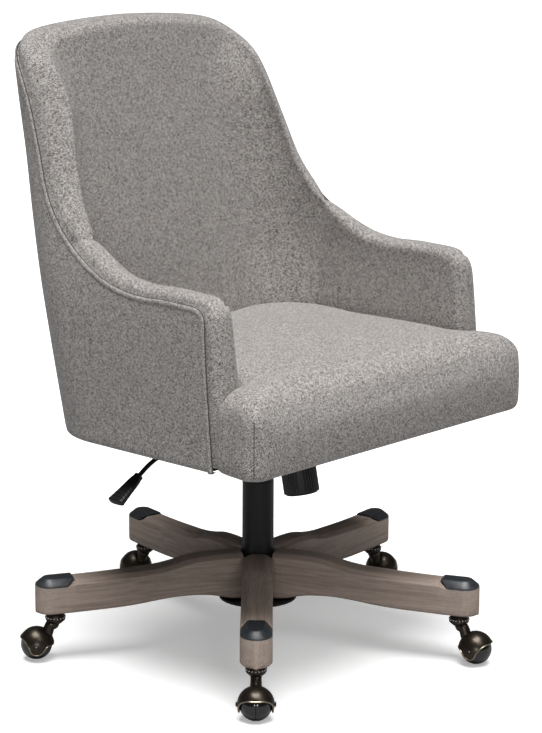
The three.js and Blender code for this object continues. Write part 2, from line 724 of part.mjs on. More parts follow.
// ---------------------------------------------------------------- height and lock lever
function buildLever() {
  const { y, z, pivotX, bendX, droop, dropLength } = lever;
  const down = new THREE.Vector3(-Math.cos(rad(droop)), 0, -Math.sin(rad(droop)));
  const bend = new THREE.Vector3(bendX, y, z);
  const end = bend.clone().addScaledVector(down, dropLength);
  const path = new THREE.CatmullRomCurve3(
    [
      new THREE.Vector3(lever.innerEnd, y, z),
      new THREE.Vector3(-60, y, z),
      new THREE.Vector3(bendX + 22, y, z),
      bend.clone().add(new THREE.Vector3(3, 0, -2)),
      bend.clone().addScaledVector(down, 20),
      end,
    ],
    false,
    "centripetal",
  );
  add("lever_rod", bar(path, lever.rod, 20, 8), blackSteel);

  // Flat paddle with finger grooves underneath, pushed onto the rod's end.
  const start = bend.clone().addScaledVector(down, dropLength - 16);
  const up = new THREE.Vector3(-down.z, 0, down.x).normalize();
  if (up.z < 0) up.negate();
  const side = new THREE.Vector3(0, 1, 0);
  const rings = [];
  const steps = 10;
  for (let i = 0; i <= steps; i++) {
    const t = i / steps;
    const bulge = Math.sin(Math.PI * Math.min(1, Math.max(0, (t + 0.04) / 1.08))) ** 0.35;
    const wide = (lerp(lever.paddleInner[0], lever.paddleOuter[0], t ** 0.8) / 2) * bulge;
    const thick = (lerp(lever.paddleInner[1], lever.paddleOuter[1], t) / 2) * bulge;
    const groove = t > 0.3 && t < 0.95 ? 1.2 * Math.cos((t - 0.3) * 6 * Math.PI) : 0;
    rings.push(
      circle(1, 12).map((p) =>
        start
          .clone()
          .addScaledVector(down, t * lever.paddle)
          .addScaledVector(side, wide * Math.sign(p.x) * Math.abs(p.x) ** 0.7)
          .addScaledVector(up, thick * Math.sign(p.y) * Math.abs(p.y) ** 0.7 - (p.y < 0 ? groove * 0.6 : 0)),
      ),
    );
  }
  const socket = [start.clone().addScaledVector(down, -30), end.clone().addScaledVector(down, 1)];
  const rodRoom = bar(new THREE.LineCurve3(...socket), lever.rod + GAP, 1, 10);
  add("lever_paddle", cut(loft(rings), rodRoom), blackPlastic);

  // Slotted block that the lever passes through: pulled out with the lever, it frees the tilt.
  const [lx, ly, lz] = lever.lockBar;
  const hole = alongX(rod(lever.rod + 1.1, -20, 20)).translate([pivotX, y, z]);
  add(
    "tilt_lock_block",
    block(pivotX - lx / 2, pivotX + lx / 2, y - ly / 2, y + ly / 2, z - lz / 2, z + lz / 2).subtract(hole),
    blackSteel,
  );
}

// ---------------------------------------------------------------- gas lift and column
function buildLift() {
  const { radius, wall, bottom, top, endWall } = lift;
  const cylinder = turned(
    [[0, top], [0, top - 14], [radius - wall, top - 20], [radius - wall, bottom + endWall]]
      .concat([[lift.rod + RUN, bottom + endWall], [lift.rod + RUN, bottom], [radius, bottom]])
      .concat([[radius, tilt.cupBottom], [radius - 0.6, top]]),
    20,
  );
  const buttonRoom = rod(lift.button + GAP, top - 8, top + 5, 16);
  add("gas_cylinder", cylinder.subtract(buttonRoom), blackSteel);
  add("release_button", rod(lift.button, top - 2.6, top + lift.buttonRise, 16), brightSteel);

  const floor = column.bottom + column.floor;
  const bearingTop = floor + GAP + lift.bearingThick;
  const foot = column.bottom - 1; // clip under the column's floor
  const clip = lift.rod + 2.5;
  const collar = lift.rod + 3; // collar that rests on the bearing
  const piston = radius - wall - lift.pistonPlay;
  const pistonTop = lift.pistonHeight + lift.pistonThick;
  const rodProfile = [[0, foot - 3], [clip, foot - 3], [clip, foot], [lift.rod, foot]]
    .concat([[lift.rod, bearingTop + GAP], [collar, bearingTop + GAP], [collar, bearingTop + 3]])
    .concat([[lift.rod, bearingTop + 3], [lift.rod, lift.pistonHeight], [piston, lift.pistonHeight]])
    .concat([[piston, pistonTop], [0, pistonTop]]);
  add("piston_rod", turned(rodProfile, 14), brightSteel);
  add("thrust_bearing", tube(lift.bearing, lift.rod + RUN, floor + GAP / 2, bearingTop, 16), brightSteel);

  // Outer column with a closed foot, and the long plastic bush that guides the gas lift in it.
  const inner = column.radius - column.wall;
  const tubeProfile = [[lift.rod + RUN, column.bottom], [column.radius, column.bottom]]
    .concat([[column.radius, column.top], [inner, column.top], [inner, floor], [lift.rod + RUN, floor]]);
  add("column_tube", turned(tubeProfile, 32), blackSteel);
  const lip = column.radius - 1;
  const bushOuter = inner - GAP;
  const bore = radius + GAP;
  add(
    "guide_bush",
    turned([[bore, column.top - column.bushLength], [bushOuter, column.top - column.bushLength]]
      .concat([[bushOuter, column.top + GAP], [lip, column.top + GAP], [lip, column.top + 3], [bore, column.top + 3]]), 24),
    blackPlastic,
  );
}

// ---------------------------------------------------------------- base
const legAngle = (i) => rad(base.firstLeg + (i * 360) / base.legs);
const legNames = ["front_right", "front_left", "left", "rear", "right"];

function legGroup(i) {
  const group = new THREE.Group();
  group.rotation.z = legAngle(i);
  chairGroup.add(group);
  return group;
}

// A leg's cross-section at one distance from the hub, with its own half width.
function legRing(r, under, top, half) {
  const slope = Math.min(base.chamfer, half * 0.6);
  const ease = Math.min(3, half * 0.3);
  const points = [[-half, under + ease], [-half + ease, under], [half - ease, under], [half, under + ease]]
    .concat([[half, top - base.chamferDrop], [half - slope, top], [-half + slope, top], [-half, top - base.chamferDrop]]);
  return points.map(([y, z]) => new THREE.Vector3(r, y, z));
}

// Half width of the leg's rounded end.
function endHalf(r) {
  const half = base.width / 2;
  const centre = base.reach - half;
  return r <= centre ? half : Math.sqrt(Math.max(half ** 2 - (r - centre) ** 2, 0));
}

function buildBase() {
  const sleeve = column.radius + GAP + base.sleeveWall;
  const flange = column.radius + base.flangeWidth;
  const last = base.stations[base.stations.length - 1];
  const half = base.width / 2;
  const rounding = [0.3, 0.55, 0.75, 0.9, 0.985].map((t) => {
    const r = base.reach - half + half * t;
    return { r, under: last.under + 5 * t ** 4, top: last.top };
  });
  const stations = [...base.stations, ...rounding];
  const wood = loft(stations.map((s) => legRing(s.r, s.under, s.top, endHalf(s.r))));
  const mitre = Math.tan(Math.PI / base.legs);
  const tip = GAP / 2 / Math.sin(Math.PI / base.legs); // keeps the mitred faces of two legs GAP apart
  const wedge = prism([[tip, 0], [FAR, (FAR - tip) * mitre], [FAR, -(FAR - tip) * mitre]], "z", 0, FAR);
  const hubRoom = rod(sleeve + GAP, 0, FAR, 32);
  const flangeRoom = rod(flange + GAP, base.sleeveTop - base.flangeThick - GAP, FAR, 32);
  const capAt = base.reach - base.capLength;
  const pocket = prism(
    [[capAt - GAP, base.capTop + 20], [capAt - GAP, base.capTop - 5], [capAt + 13, base.capUnder - GAP]]
      .concat([[base.reach + 20, base.capUnder - GAP], [base.reach + 20, base.capTop + 20]]),
    "y",
    -60,
    60,
  );
  const stemRoom = rod(caster.stem + GAP, 0, last.under + caster.stemSocketDepth, 8).translate([caster.stemReach, 0, 0]);
  const leg = cut(wood.intersect(wedge), hubRoom, flangeRoom, pocket, stemRoom);
  const cap = legCap(capAt);
  for (let i = 0; i < base.legs; i++) {
    const group = legGroup(i);
    add("leg_" + legNames[i], leg, greyWood, group);
    add("leg_cap_" + legNames[i], cap, capPlastic, group);
  }

  // Welded steel hub: a sleeve that the legs meet round, with a flange above them and a plate below.
  const low = base.stations[0].under - GAP;
  const plateLow = low - base.plateThick;
  add(
    "hub",
    turned([[column.radius + GAP, plateLow], [base.plateRadius, plateLow], [base.plateRadius, low], [sleeve, low]]
      .concat([[sleeve, base.sleeveTop - base.flangeThick], [flange, base.sleeveTop - base.flangeThick]])
      .concat([[flange, base.sleeveTop - 1], [flange - 1.5, base.sleeveTop]])
      .concat([[column.radius + GAP, base.sleeveTop]]), 32),
    blackSteel,
  );
}

// The bevelled plastic cap let into the top of a leg's end.
function legCap(capAt) {
  const half = base.width / 2 - 0.2;
  const reach = base.reach - 0.4;
  const outline = (inset, start) => {
    const points = [[start, -half + inset]];
    const centre = reach - half;
    for (let i = 0; i <= 10; i++) {
      const a = -Math.PI / 2 + (i / 10) * Math.PI;
      points.push([centre + (half - inset) * Math.cos(a), (half - inset) * Math.sin(a)]);
    }
    points.push([start, half - inset]);
    return points;
  };
  const ring = (inset, start, z) => outline(inset, start).map(([x, y]) => new THREE.Vector3(x, y, z));
  return loft([
    ring(0, capAt + 13, base.capUnder),
    ring(0.2, capAt + 10.5, base.capUnder + 2),
    ring(base.capBevel - 1, capAt + 0.6, base.capTop - 1.2),
    ring(base.capBevel + 1, capAt + 1.2, base.capTop),
  ]);
}

// ---------------------------------------------------------------- casters
function buildCasters() {
  const hood = casterHood();
  const ball = casterBall();
  const axle = casterAxle();
  const stem = casterStem();
  for (let i = 0; i < base.legs; i++) {
    const leg = legGroup(i);
    const seat = new THREE.Group();
    seat.position.x = caster.stemReach;
    leg.add(seat);
    add("caster_stem_" + legNames[i], stem, brightSteel, seat);
    const swivel = new THREE.Group();
    swivel.rotation.z = rad(caster.turns[i]);
    seat.add(swivel);
    add("caster_hood_" + legNames[i], hood, bronze, swivel);
    add("caster_ball_" + legNames[i], ball, ballFinish, swivel);
    add("caster_axle_" + legNames[i], axle, bronze, swivel);
  }
}

const racewayTop = () => base.stations[base.stations.length - 1].under - 3.5;

// Turn a solid of revolution so that its own Z axis lies along Y, and put it at the ball's centre.
function onBall(manifold) {
  return solid(geometryOf(manifold).rotateX(Math.PI / 2).translate(caster.trail, 0, caster.ball));
}

function sphereProfile(radius, from, to, steps) {
  return Array.from({ length: steps + 1 }, (_, i) => {
    const a = lerp(from, to, i / steps);
    return [radius * Math.cos(a), radius * Math.sin(a)];
  });
}

// Ball wheel in two halves with a fine parting groove, bored for its axle.
function casterBall() {
  const bore = caster.axle + RUN;
  const edge = Math.acos(bore / caster.ball);
  const profile = [
    ...sphereProfile(caster.ball, -edge, -0.03, 3),
    [caster.ball - 0.7, 0],
    ...sphereProfile(caster.ball, 0.03, edge, 3),
  ];
  return onBall(turned(profile, 16));
}

// Hood over the ball's inner and upper side, with a neck up to the raceway. One casting.
function casterHood() {
  const inner = caster.ball + caster.ballGap;
  const outer = inner + caster.hoodWall;
  const full = (r) => {
    const profile = [[0, -r], ...sphereProfile(r, -Math.PI / 2 + 0.35, Math.PI / 2 - 0.35, 4), [0, r]];
    return onBall(turned(profile, 16));
  };
  // The hood's lower edge runs level behind, dips round the axle and rises to a peak in front.
  const c = caster.trail;
  const h = caster.ball;
  const opening = [
    [c + 60, h - 60],
    [c - 60, h - 60],
    [c - 60, h + 2],
    [c - outer * 0.62, h + 1],
    [c - 8, h - 10],
    [c, h - 11.5],
    [c + 7, h - 9],
    [c + 11, h + 3],
    [c + outer * 0.72, h + 11.5],
    [c + 60, h + 14],
  ];
  const openRoom = prism(opening, "y", -60, 60);
  const shellPart = cut(full(outer), full(inner), openRoom);
  const top = racewayTop();
  const dish = turned(
    [[0, top - 17], [9, top - 17], [caster.raceway - 1, top - 11.5], [caster.raceway, top - 8]]
      .concat([[caster.raceway, top - 6], [caster.raceway - 3, top - 1], [caster.raceway - 6, top], [0, top]]),
    12,
  );
  const neckPath = new THREE.CatmullRomCurve3([
    new THREE.Vector3(1, 0, top - 13),
    new THREE.Vector3(4, 0, top - 22),
    new THREE.Vector3(c - 19, 0, h + 15),
  ]);
  const neck = bar(neckPath, 7.5, 3, 8);
  const stemRoom = rod(caster.stem + RUN, top - 14, top + 10, 8);
  const axleRoom = onBall(rod(caster.axle + GAP, -60, 60, 8));
  const casting = join(shellPart, dish, cut(neck, full(inner + 0.2)));
  return cut(casting, stemRoom, axleRoom);
}

// Axle through the ball with a rivet head outside each cheek of the hood.
function casterAxle() {
  const cheek = caster.ball + caster.ballGap + caster.hoodWall + 0.4;
  const head = 4.4;
  return onBall(
    turned(
      [[0, -cheek - 1.6], [head - 1.2, -cheek - 1.6], [head, -cheek - 0.6], [head, -cheek], [caster.axle, -cheek]]
        .concat([[caster.axle, cheek], [head, cheek], [head, cheek + 0.6], [head - 1.2, cheek + 1.6], [0, cheek + 1.6]]),
      8,
    ),
  );
}

// Stem pressed into the leg, with its head inside the raceway.
function casterStem() {
  const top = racewayTop();
  const under = base.stations[base.stations.length - 1].under;
  return turned(
    [[0, top - 13], [caster.stem, top - 13], [caster.stem, top + GAP + 0.1], [8, top + GAP + 0.1], [8, under - GAP]]
      .concat([[caster.stem, under - GAP], [caster.stem, under + caster.stemSocketDepth - 3]])
      .concat([[0, under + caster.stemSocketDepth - 3]]),
    8,
  );
}

// ---------------------------------------------------------------- assembly
buildShell();
buildSeat();
buildTilt();
buildKnob();
buildLever();
buildLift();
buildBase();
buildCasters();

// Put the origin in the middle of the chair's footprint, on the floor.
chairGroup.updateMatrixWorld(true);
const extent = new THREE.Box3().setFromObject(chairGroup, true);
const middle = extent.getCenter(new THREE.Vector3());
chairGroup.position.set(-middle.x, -middle.y, -extent.min.z);
chairGroup.updateMatrixWorld(true);

export default chairGroup;
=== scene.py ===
"""Looks of the swivel office chair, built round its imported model.

Lengths of the upholstery are millimetres round the swivel axis, and place() moves them into the model's
frame, in metres. The sitter faces -Y, and +X is the sitter's left.
"""

import json
import math

import bmesh
import bpy
import numpy as np
from mathutils import Matrix, Vector
from mathutils.kdtree import KDTree


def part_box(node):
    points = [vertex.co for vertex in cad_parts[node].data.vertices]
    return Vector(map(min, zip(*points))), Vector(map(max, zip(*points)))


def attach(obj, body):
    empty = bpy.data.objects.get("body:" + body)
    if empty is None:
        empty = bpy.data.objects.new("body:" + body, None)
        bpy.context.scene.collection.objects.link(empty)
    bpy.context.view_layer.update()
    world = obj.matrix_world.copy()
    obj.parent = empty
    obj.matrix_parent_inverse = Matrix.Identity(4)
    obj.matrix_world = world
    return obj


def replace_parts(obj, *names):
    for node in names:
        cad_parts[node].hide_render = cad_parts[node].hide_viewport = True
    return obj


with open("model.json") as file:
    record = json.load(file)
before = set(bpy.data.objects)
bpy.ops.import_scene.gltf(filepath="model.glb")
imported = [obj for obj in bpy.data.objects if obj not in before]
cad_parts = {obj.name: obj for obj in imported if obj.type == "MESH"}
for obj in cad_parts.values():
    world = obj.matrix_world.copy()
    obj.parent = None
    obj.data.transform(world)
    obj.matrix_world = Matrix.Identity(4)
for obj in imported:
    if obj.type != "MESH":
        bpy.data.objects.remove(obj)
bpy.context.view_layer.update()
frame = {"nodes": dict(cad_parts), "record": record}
nodes = frame["nodes"]
LEGS = ["front_right", "front_left", "left", "rear", "right"]
LEG_ANGLES = [math.radians(222.4 + 72 * i) for i in range(len(LEGS))]
COLUMN_FOOT = 58.0  # height of the column tube's foot above the floor

# ---------------------------------------------------------------- where the chair stands
low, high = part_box("column_tube")
AXIS = np.array([(low.x + high.x) * 500, (low.y + high.y) * 500, low.z * 1000 - COLUMN_FOOT])


def place(points):
    """Points round the swivel axis, in millimetres, moved into the model's frame, in metres."""
    return (np.asarray(points, float) + AXIS) / 1000.0


def through(xs, ys):
    """A smooth curve y(x) through the given points."""
    xs, ys = np.array(xs, float), np.array(ys, float)
    step = np.diff(xs)
    rise = np.diff(ys) / step
    slope = np.empty_like(ys)
    slope[1:-1] = (rise[:-1] * step[1:] + rise[1:] * step[:-1]) / (step[:-1] + step[1:])
    slope[0], slope[-1] = rise[0], rise[-1]

    def at(x):
        x = np.asarray(x, float)
        i = np.clip(np.searchsorted(xs, x) - 1, 0, len(step) - 1)
        t = (x - xs[i]) / step[i]
        a, b = ys[i], ys[i + 1]
        ma, mb = slope[i] * step[i], slope[i + 1] * step[i]
        inside = (a * (2 * t**3 - 3 * t**2 + 1) + ma * (t**3 - 2 * t**2 + t)
                  + b * (3 * t**2 - 2 * t**3) + mb * (t**3 - t**2))
        outside = np.where(t < 0, a + ma * t, b + mb * (t - 1))
        return np.where((t < 0) | (t > 1), outside, inside)

    return at


# ---------------------------------------------------------------- meshes
def mesh_object(name, verts, faces, body, material, smooth=True):
    mesh = bpy.data.meshes.new(name)
    mesh.from_pydata([tuple(v) for v in verts], [], faces)
    mesh.validate()
    b = bmesh.new()
    b.from_mesh(mesh)
    bmesh.ops.remove_doubles(b, verts=b.verts, dist=1e-6)
    bmesh.ops.dissolve_degenerate(b, edges=b.edges, dist=1e-7)
    b.to_mesh(mesh)
    b.free()
    if smooth:
        mesh.polygons.foreach_set("use_smooth", [True] * len(mesh.polygons))
    piece = bpy.data.objects.new(name, mesh)
    bpy.context.scene.collection.objects.link(piece)
    finish_piece(piece, body, material)
    return piece


def finish_piece(piece, body, material):
    piece.data.materials.clear()
    piece.data.materials.append(material)
    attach(piece, body)


def outward(piece):
    b = bmesh.new()
    b.from_mesh(piece.data)
    bmesh.ops.recalc_face_normals(b, faces=b.faces)
    b.to_mesh(piece.data)
    b.free()
    piece.data.update()


def grid_faces(rows, columns, wrap=False):
    faces = []
    for r in range(rows - 1):
        for c in range(columns if wrap else columns - 1):
            a, b = r * columns + c, r * columns + (c + 1) % columns
            faces.append((a, b, b + columns, a + columns))
    return faces


def capped_faces(rings, sides):
    """Faces through closed rings of points, with one flat face over each end."""
    faces = grid_faces(rings, sides, wrap=True)
    faces.append(tuple(range(sides))[::-1])
    faces.append(tuple((rings - 1) * sides + k for k in range(sides)))
    return faces


def grid_object(name, grid, body, material):
    """A sheet through a grid of points, in millimetres."""
    return mesh_object(name, place(grid.reshape(-1, 3)), grid_faces(*grid.shape[:2]), body, material)


def tube_object(name, path, radii, body, material, sides=12, up=None):
    """A round or flattened cord along a path; radii are its half sizes along side and up at each point."""
    path = np.asarray(path, float)
    n = len(path)
    tangent = np.gradient(path, axis=0)
    tangent /= np.linalg.norm(tangent, axis=1)[:, None]
    if up is None:
        up = np.zeros_like(path)
        start = np.array([0, 0, 1.0]) if abs(tangent[0][2]) < 0.9 else np.array([1.0, 0, 0])
        for i in range(n):
            start = start - tangent[i] * start.dot(tangent[i])
            start /= np.linalg.norm(start)
            up[i] = start
    side = np.cross(tangent, up)
    side /= np.linalg.norm(side, axis=1)[:, None]
    up = np.cross(side, tangent)
    radii = np.broadcast_to(np.asarray(radii, float), (n, 2))
    verts = []
    for i in range(n):
        for k in range(sides):
            a = 2 * math.pi * k / sides
            verts.append(path[i] + side[i] * radii[i][0] * math.cos(a) + up[i] * radii[i][1] * math.sin(a))
    piece = mesh_object(name, place(verts), capped_faces(n, sides), body, material)
    outward(piece)
    return piece


# ---------------------------------------------------------------- shader groups
def new_group(name, inputs, outputs):
    group = bpy.data.node_groups.new(name, "ShaderNodeTree")
    for label, kind, value in inputs:
        socket = group.interface.new_socket(label, in_out="INPUT", socket_type=kind)
        if value is not None:
            socket.default_value = value
    for label, kind in outputs:
        group.interface.new_socket(label, in_out="OUTPUT", socket_type=kind)
    return group, Wires(group, group.nodes.new("NodeGroupInput"), group.nodes.new("NodeGroupOutput"))


class Wires:
    """Short ways to add and join shader nodes."""

    def __init__(self, tree, source=None, sink=None):
        self.tree, self.source, self.sink = tree, source, sink

    def add(self, kind, **settings):
        node = self.tree.nodes.new("ShaderNode" + kind)
        for key, value in settings.items():
            setattr(node, key, value)
        return node

    def join(self, a, b):
        self.tree.links.new(a, b)

    def feed(self, socket, value):
        if hasattr(value, "is_output"):
            self.tree.links.new(value, socket)
        else:
            socket.default_value = value

    def math(self, operation, a, b=0.0, c=0.0, clamp=False):
        node = self.add("Math", operation=operation, use_clamp=clamp)
        for socket, value in zip(node.inputs, (a, b, c)):
            self.feed(socket, value)
        return node.outputs[0]

    def plus(self, a, b):
        return self.math("ADD", a, b)

    def minus(self, a, b):
        return self.math("SUBTRACT", a, b)

    def times(self, a, b):
        return self.math("MULTIPLY", a, b)

    def rest(self, a):
        """What a share leaves of one."""
        return self.math("SUBTRACT", 1.0, a)

    def vector(self, operation, a, b=None):
        node = self.add("VectorMath", operation=operation)
        self.feed(node.inputs[0], a)
        if b is not None:
            self.feed(node.inputs[1], b)
        return node.outputs["Value"] if operation in ("DOT_PRODUCT", "LENGTH") else node.outputs["Vector"]

    def mix(self, factor, a, b, blend="MIX"):
        node = self.add("Mix", data_type="RGBA", blend_type=blend)
        self.feed(node.inputs[0], factor)
        self.feed(node.inputs[6], a)
        self.feed(node.inputs[7], b)
        return node.outputs[2]

    def noise(self, where, scale, detail=2.0, rough=0.5, dims="3D"):
        node = self.add("TexNoise", noise_dimensions=dims)
        self.feed(node.inputs["Vector"], where)
        node.inputs["Scale"].default_value = scale
        node.inputs["Detail"].default_value = detail
        node.inputs["Roughness"].default_value = rough
        return node.outputs["Fac"]

    def ramp(self, value, low_in, high_in, low_out=0.0, high_out=1.0):
        node = self.add("MapRange", clamp=True)
        for socket, item in zip(node.inputs, (value, low_in, high_in, low_out, high_out)):
            self.feed(socket, item)
        return node.outputs[0]

    def pack(self, x, y, z=0.0):
        node = self.add("CombineXYZ")
        for socket, item in zip(node.inputs, (x, y, z)):
            self.feed(socket, item)
        return node.outputs[0]

    def split(self, vector):
        node = self.add("SeparateXYZ")
        self.feed(node.inputs[0], vector)
        return node.outputs


def weave_group():
    """Heathered twill: thread colours mixed at random, in diagonal steps."""
    group, w = new_group(
        "heather_weave",
        [("Place", "NodeSocketVector", None), ("Facing", "NodeSocketVector", None),
         ("Thread", "NodeSocketFloat", 0.00105),
         ("Dark", "NodeSocketColor", (0.1, 0.1, 0.1, 1)), ("Light", "NodeSocketColor", (0.6, 0.6, 0.6, 1))],
        [("Color", "NodeSocketColor"), ("Height", "NodeSocketFloat")],
    )
    x, y, z = w.split(w.source.outputs["Place"])
    nx, ny, nz = w.split(w.vector("ABSOLUTE", w.source.outputs["Facing"]))
    top = w.math("GREATER_THAN", nz, 0.62)
    sideways = w.math("GREATER_THAN", nx, ny)
    # the two directions of the cloth: across and along each face
    across = w.plus(w.times(x, w.rest(sideways)), w.times(y, sideways))
    across = w.plus(w.times(across, w.rest(top)), w.times(x, top))
    along = w.plus(w.times(z, w.rest(top)), w.times(y, top))
    thread = w.source.outputs["Thread"]
    u, v = w.math("DIVIDE", across, thread), w.math("DIVIDE", along, thread)
    iu, iv = w.math("FLOOR", u), w.math("FLOOR", v)
    step = w.math("MODULO", w.plus(w.plus(iu, iv), 40000.0), 4.0)
    warp = w.math("LESS_THAN", step, 2.0)

    def random(a, b, seed):
        node = w.add("TexWhiteNoise", noise_dimensions="3D")
        w.feed(node.inputs["Vector"], w.pack(a, b, seed))
        return node.outputs["Value"]

    warp_tone = random(iu, w.math("FLOOR", w.math("DIVIDE", v, 2.0)), 1.0)
    weft_tone = random(w.math("FLOOR", w.math("DIVIDE", u, 2.0)), iv, 2.0)
    tone = w.plus(w.times(warp_tone, warp), w.times(weft_tone, w.rest(warp)))
    speck = random(iu, iv, 3.0)
    cloud = w.noise(w.source.outputs["Place"], 260.0, 2.0)
    tone = w.plus(w.times(tone, 0.58), w.times(speck, 0.46))
    tone = w.plus(tone, w.times(w.minus(cloud, 0.5), 0.16))
    tone = w.plus(tone, w.times(w.minus(warp, 0.5), 0.14))
    tone = w.math("MULTIPLY_ADD", tone, 1.3, -0.16, clamp=True)
    w.join(w.mix(tone, w.source.outputs["Dark"], w.source.outputs["Light"]), w.sink.inputs["Color"])
    fu = w.minus(w.math("FRACT", u), 0.5)
    fv = w.minus(w.math("FRACT", v), 0.5)
    round_warp = w.times(w.times(fu, fu), warp)
    round_weft = w.times(w.times(fv, fv), w.rest(warp))
    hump = w.minus(0.25, w.plus(round_warp, round_weft))
    w.join(w.plus(w.times(hump, 2.4), w.times(speck, 0.4)), w.sink.inputs["Height"])
    return group


def grain_group():
    """Straight open grain along the piece's own length."""
    group, w = new_group(
        "open_grain",
        [("Place", "NodeSocketVector", None), ("Pale", "NodeSocketColor", (0.4, 0.33, 0.28, 1)),
         ("Deep", "NodeSocketColor", (0.2, 0.16, 0.13, 1))],
        [("Color", "NodeSocketColor"), ("Height", "NodeSocketFloat")],
    )
    where = w.source.outputs["Place"]
    x, y, z = w.split(where)
    bend = w.times(w.minus(w.noise(where, 7.0, 2.0), 0.5), 0.012)

    def stretched(along, across, up, *settings):
        """Noise drawn out along the leg, from how close it lies in each direction."""
        return w.noise(w.pack(w.times(x, along), across, up), 1.0, *settings)

    fibre = stretched(9.0, w.times(w.plus(y, bend), 420.0), w.times(w.plus(z, bend), 300.0), 4.0, 0.62)
    pores = stretched(38.0, w.times(y, 1300.0), w.times(z, 900.0), 2.0)
    wide = stretched(3.0, w.times(y, 45.0), w.times(z, 45.0), 2.0)
    tone = w.plus(w.times(fibre, 0.75), w.times(wide, 0.45))
    pore = w.ramp(pores, 0.30, 0.42)
    tone = w.math("SUBTRACT", w.ramp(tone, 0.36, 0.82), w.times(w.rest(pore), 0.30), clamp=True)
    w.join(w.mix(tone, w.source.outputs["Deep"], w.source.outputs["Pale"]), w.sink.inputs["Color"])
    w.join(w.plus(fibre, w.times(pore, 0.5)), w.sink.inputs["Height"])
    return group


def wear_group():
    """Rubbed edges and faint dust: a mask from the surface's sharpness and a little noise."""
    group, w = new_group(
        "rubbed_edges",
        [("Place", "NodeSocketVector", None), ("Sharpness", "NodeSocketFloat", 0.5),
         ("Amount", "NodeSocketFloat", 0.5)],
        [("Edge", "NodeSocketFloat"), ("Dust", "NodeSocketFloat"), ("Fine", "NodeSocketFloat")],
    )
    where = w.source.outputs["Place"]
    patch = w.noise(where, 160.0, 4.0, 0.6)
    edge = w.ramp(w.plus(w.source.outputs["Sharpness"], w.times(w.minus(patch, 0.5), 0.12)), 0.515, 0.60)
    w.join(w.times(edge, w.source.outputs["Amount"]), w.sink.inputs["Edge"])
    w.join(w.ramp(w.noise(where, 45.0, 3.0), 0.5, 0.8), w.sink.inputs["Dust"])
    w.join(w.noise(where, 900.0, 2.0), w.sink.inputs["Fine"])
    return group


WEAVE, GRAIN, WEAR = weave_group(), grain_group(), wear_group()


def new_material(name):
    material = bpy.data.materials.new(name)
    material.use_nodes = True
    w = Wires(material.node_tree)
    shader = next(n for n in w.tree.nodes if n.type == "BSDF_PRINCIPLED")
    coordinates = w.add("TexCoord")
    return material, w, shader, coordinates.outputs["Object"]


def bump(w, shader, height, strength, distance):
    node = w.add("Bump")
    node.inputs["Strength"].default_value = strength
    node.inputs["Distance"].default_value = distance
    w.join(height, node.inputs["Height"])
    w.join(node.outputs["Normal"], shader.inputs["Normal"])


def cloth_material(name, dark, light, strength=0.4):
    material, w, shader, where = new_material(name)
    facing = w.add("VectorTransform", vector_type="NORMAL", convert_from="WORLD", convert_to="OBJECT")
    w.join(w.add("NewGeometry").outputs["Normal"], facing.inputs[0])
    cloth = w.add("Group", node_tree=WEAVE)
    w.join(where, cloth.inputs["Place"])
    w.join(facing.outputs[0], cloth.inputs["Facing"])
    cloth.inputs["Dark"].default_value = dark
    cloth.inputs["Light"].default_value = light
    w.join(cloth.outputs["Color"], shader.inputs["Base Color"])
    shader.inputs["Roughness"].default_value = 0.92
    shader.inputs["Specular IOR Level"].default_value = 0.25
    shader.inputs["Sheen Weight"].default_value = 0.18
    shader.inputs["Sheen Roughness"].default_value = 0.5
    bump(w, shader, cloth.outputs["Height"], strength, 0.0004)
    return material


def wood_material(name, angle):
    material, w, shader, where = new_material(name)
    turn = w.add("Mapping", vector_type="POINT")
    turn.inputs["Rotation"].default_value = (0, 0, -angle)
    w.join(where, turn.inputs["Vector"])
    wood = w.add("Group", node_tree=GRAIN)
    wood.inputs["Pale"].default_value = (0.44, 0.35, 0.295, 1)
    wood.inputs["Deep"].default_value = (0.22, 0.17, 0.143, 1)
    w.join(turn.outputs[0], wood.inputs["Place"])
    sharp = w.add("NewGeometry").outputs["Pointiness"]
    worn = w.add("Group", node_tree=WEAR)
    w.join(where, worn.inputs["Place"])
    w.join(sharp, worn.inputs["Sharpness"])
    worn.inputs["Amount"].default_value = 0.55
    w.join(w.mix(worn.outputs["Edge"], wood.outputs["Color"], (0.46, 0.39, 0.34, 1)),
           shader.inputs["Base Color"])
    w.join(w.ramp(wood.outputs["Height"], 0.3, 1.3, 0.68, 0.5), shader.inputs["Roughness"])
    shader.inputs["Specular IOR Level"].default_value = 0.35
    bump(w, shader, wood.outputs["Height"], 0.25, 0.0004)
    return material


def hard_material(name, color, roughness, metallic=0.0, worn=None, amount=0.0, grain=0.04, coat=0.0,
                  specular=0.5):
    """Plastic or metal with fine unevenness and, where asked, rubbed edges."""
    material, w, shader, where = new_material(name)
    wear = w.add("Group", node_tree=WEAR)
    w.join(where, wear.inputs["Place"])
    w.join(w.add("NewGeometry").outputs["Pointiness"], wear.inputs["Sharpness"])
    wear.inputs["Amount"].default_value = amount
    w.join(w.mix(wear.outputs["Edge"], color, worn or color), shader.inputs["Base Color"])
    w.join(w.ramp(wear.outputs["Dust"], 0.0, 1.0, roughness, roughness + 0.12), shader.inputs["Roughness"])
    shader.inputs["Metallic"].default_value = metallic
    shader.inputs["Coat Weight"].default_value = coat
    shader.inputs["Specular IOR Level"].default_value = specular
    bump(w, shader, wear.outputs["Fine"], grain, 0.0002)
    return material


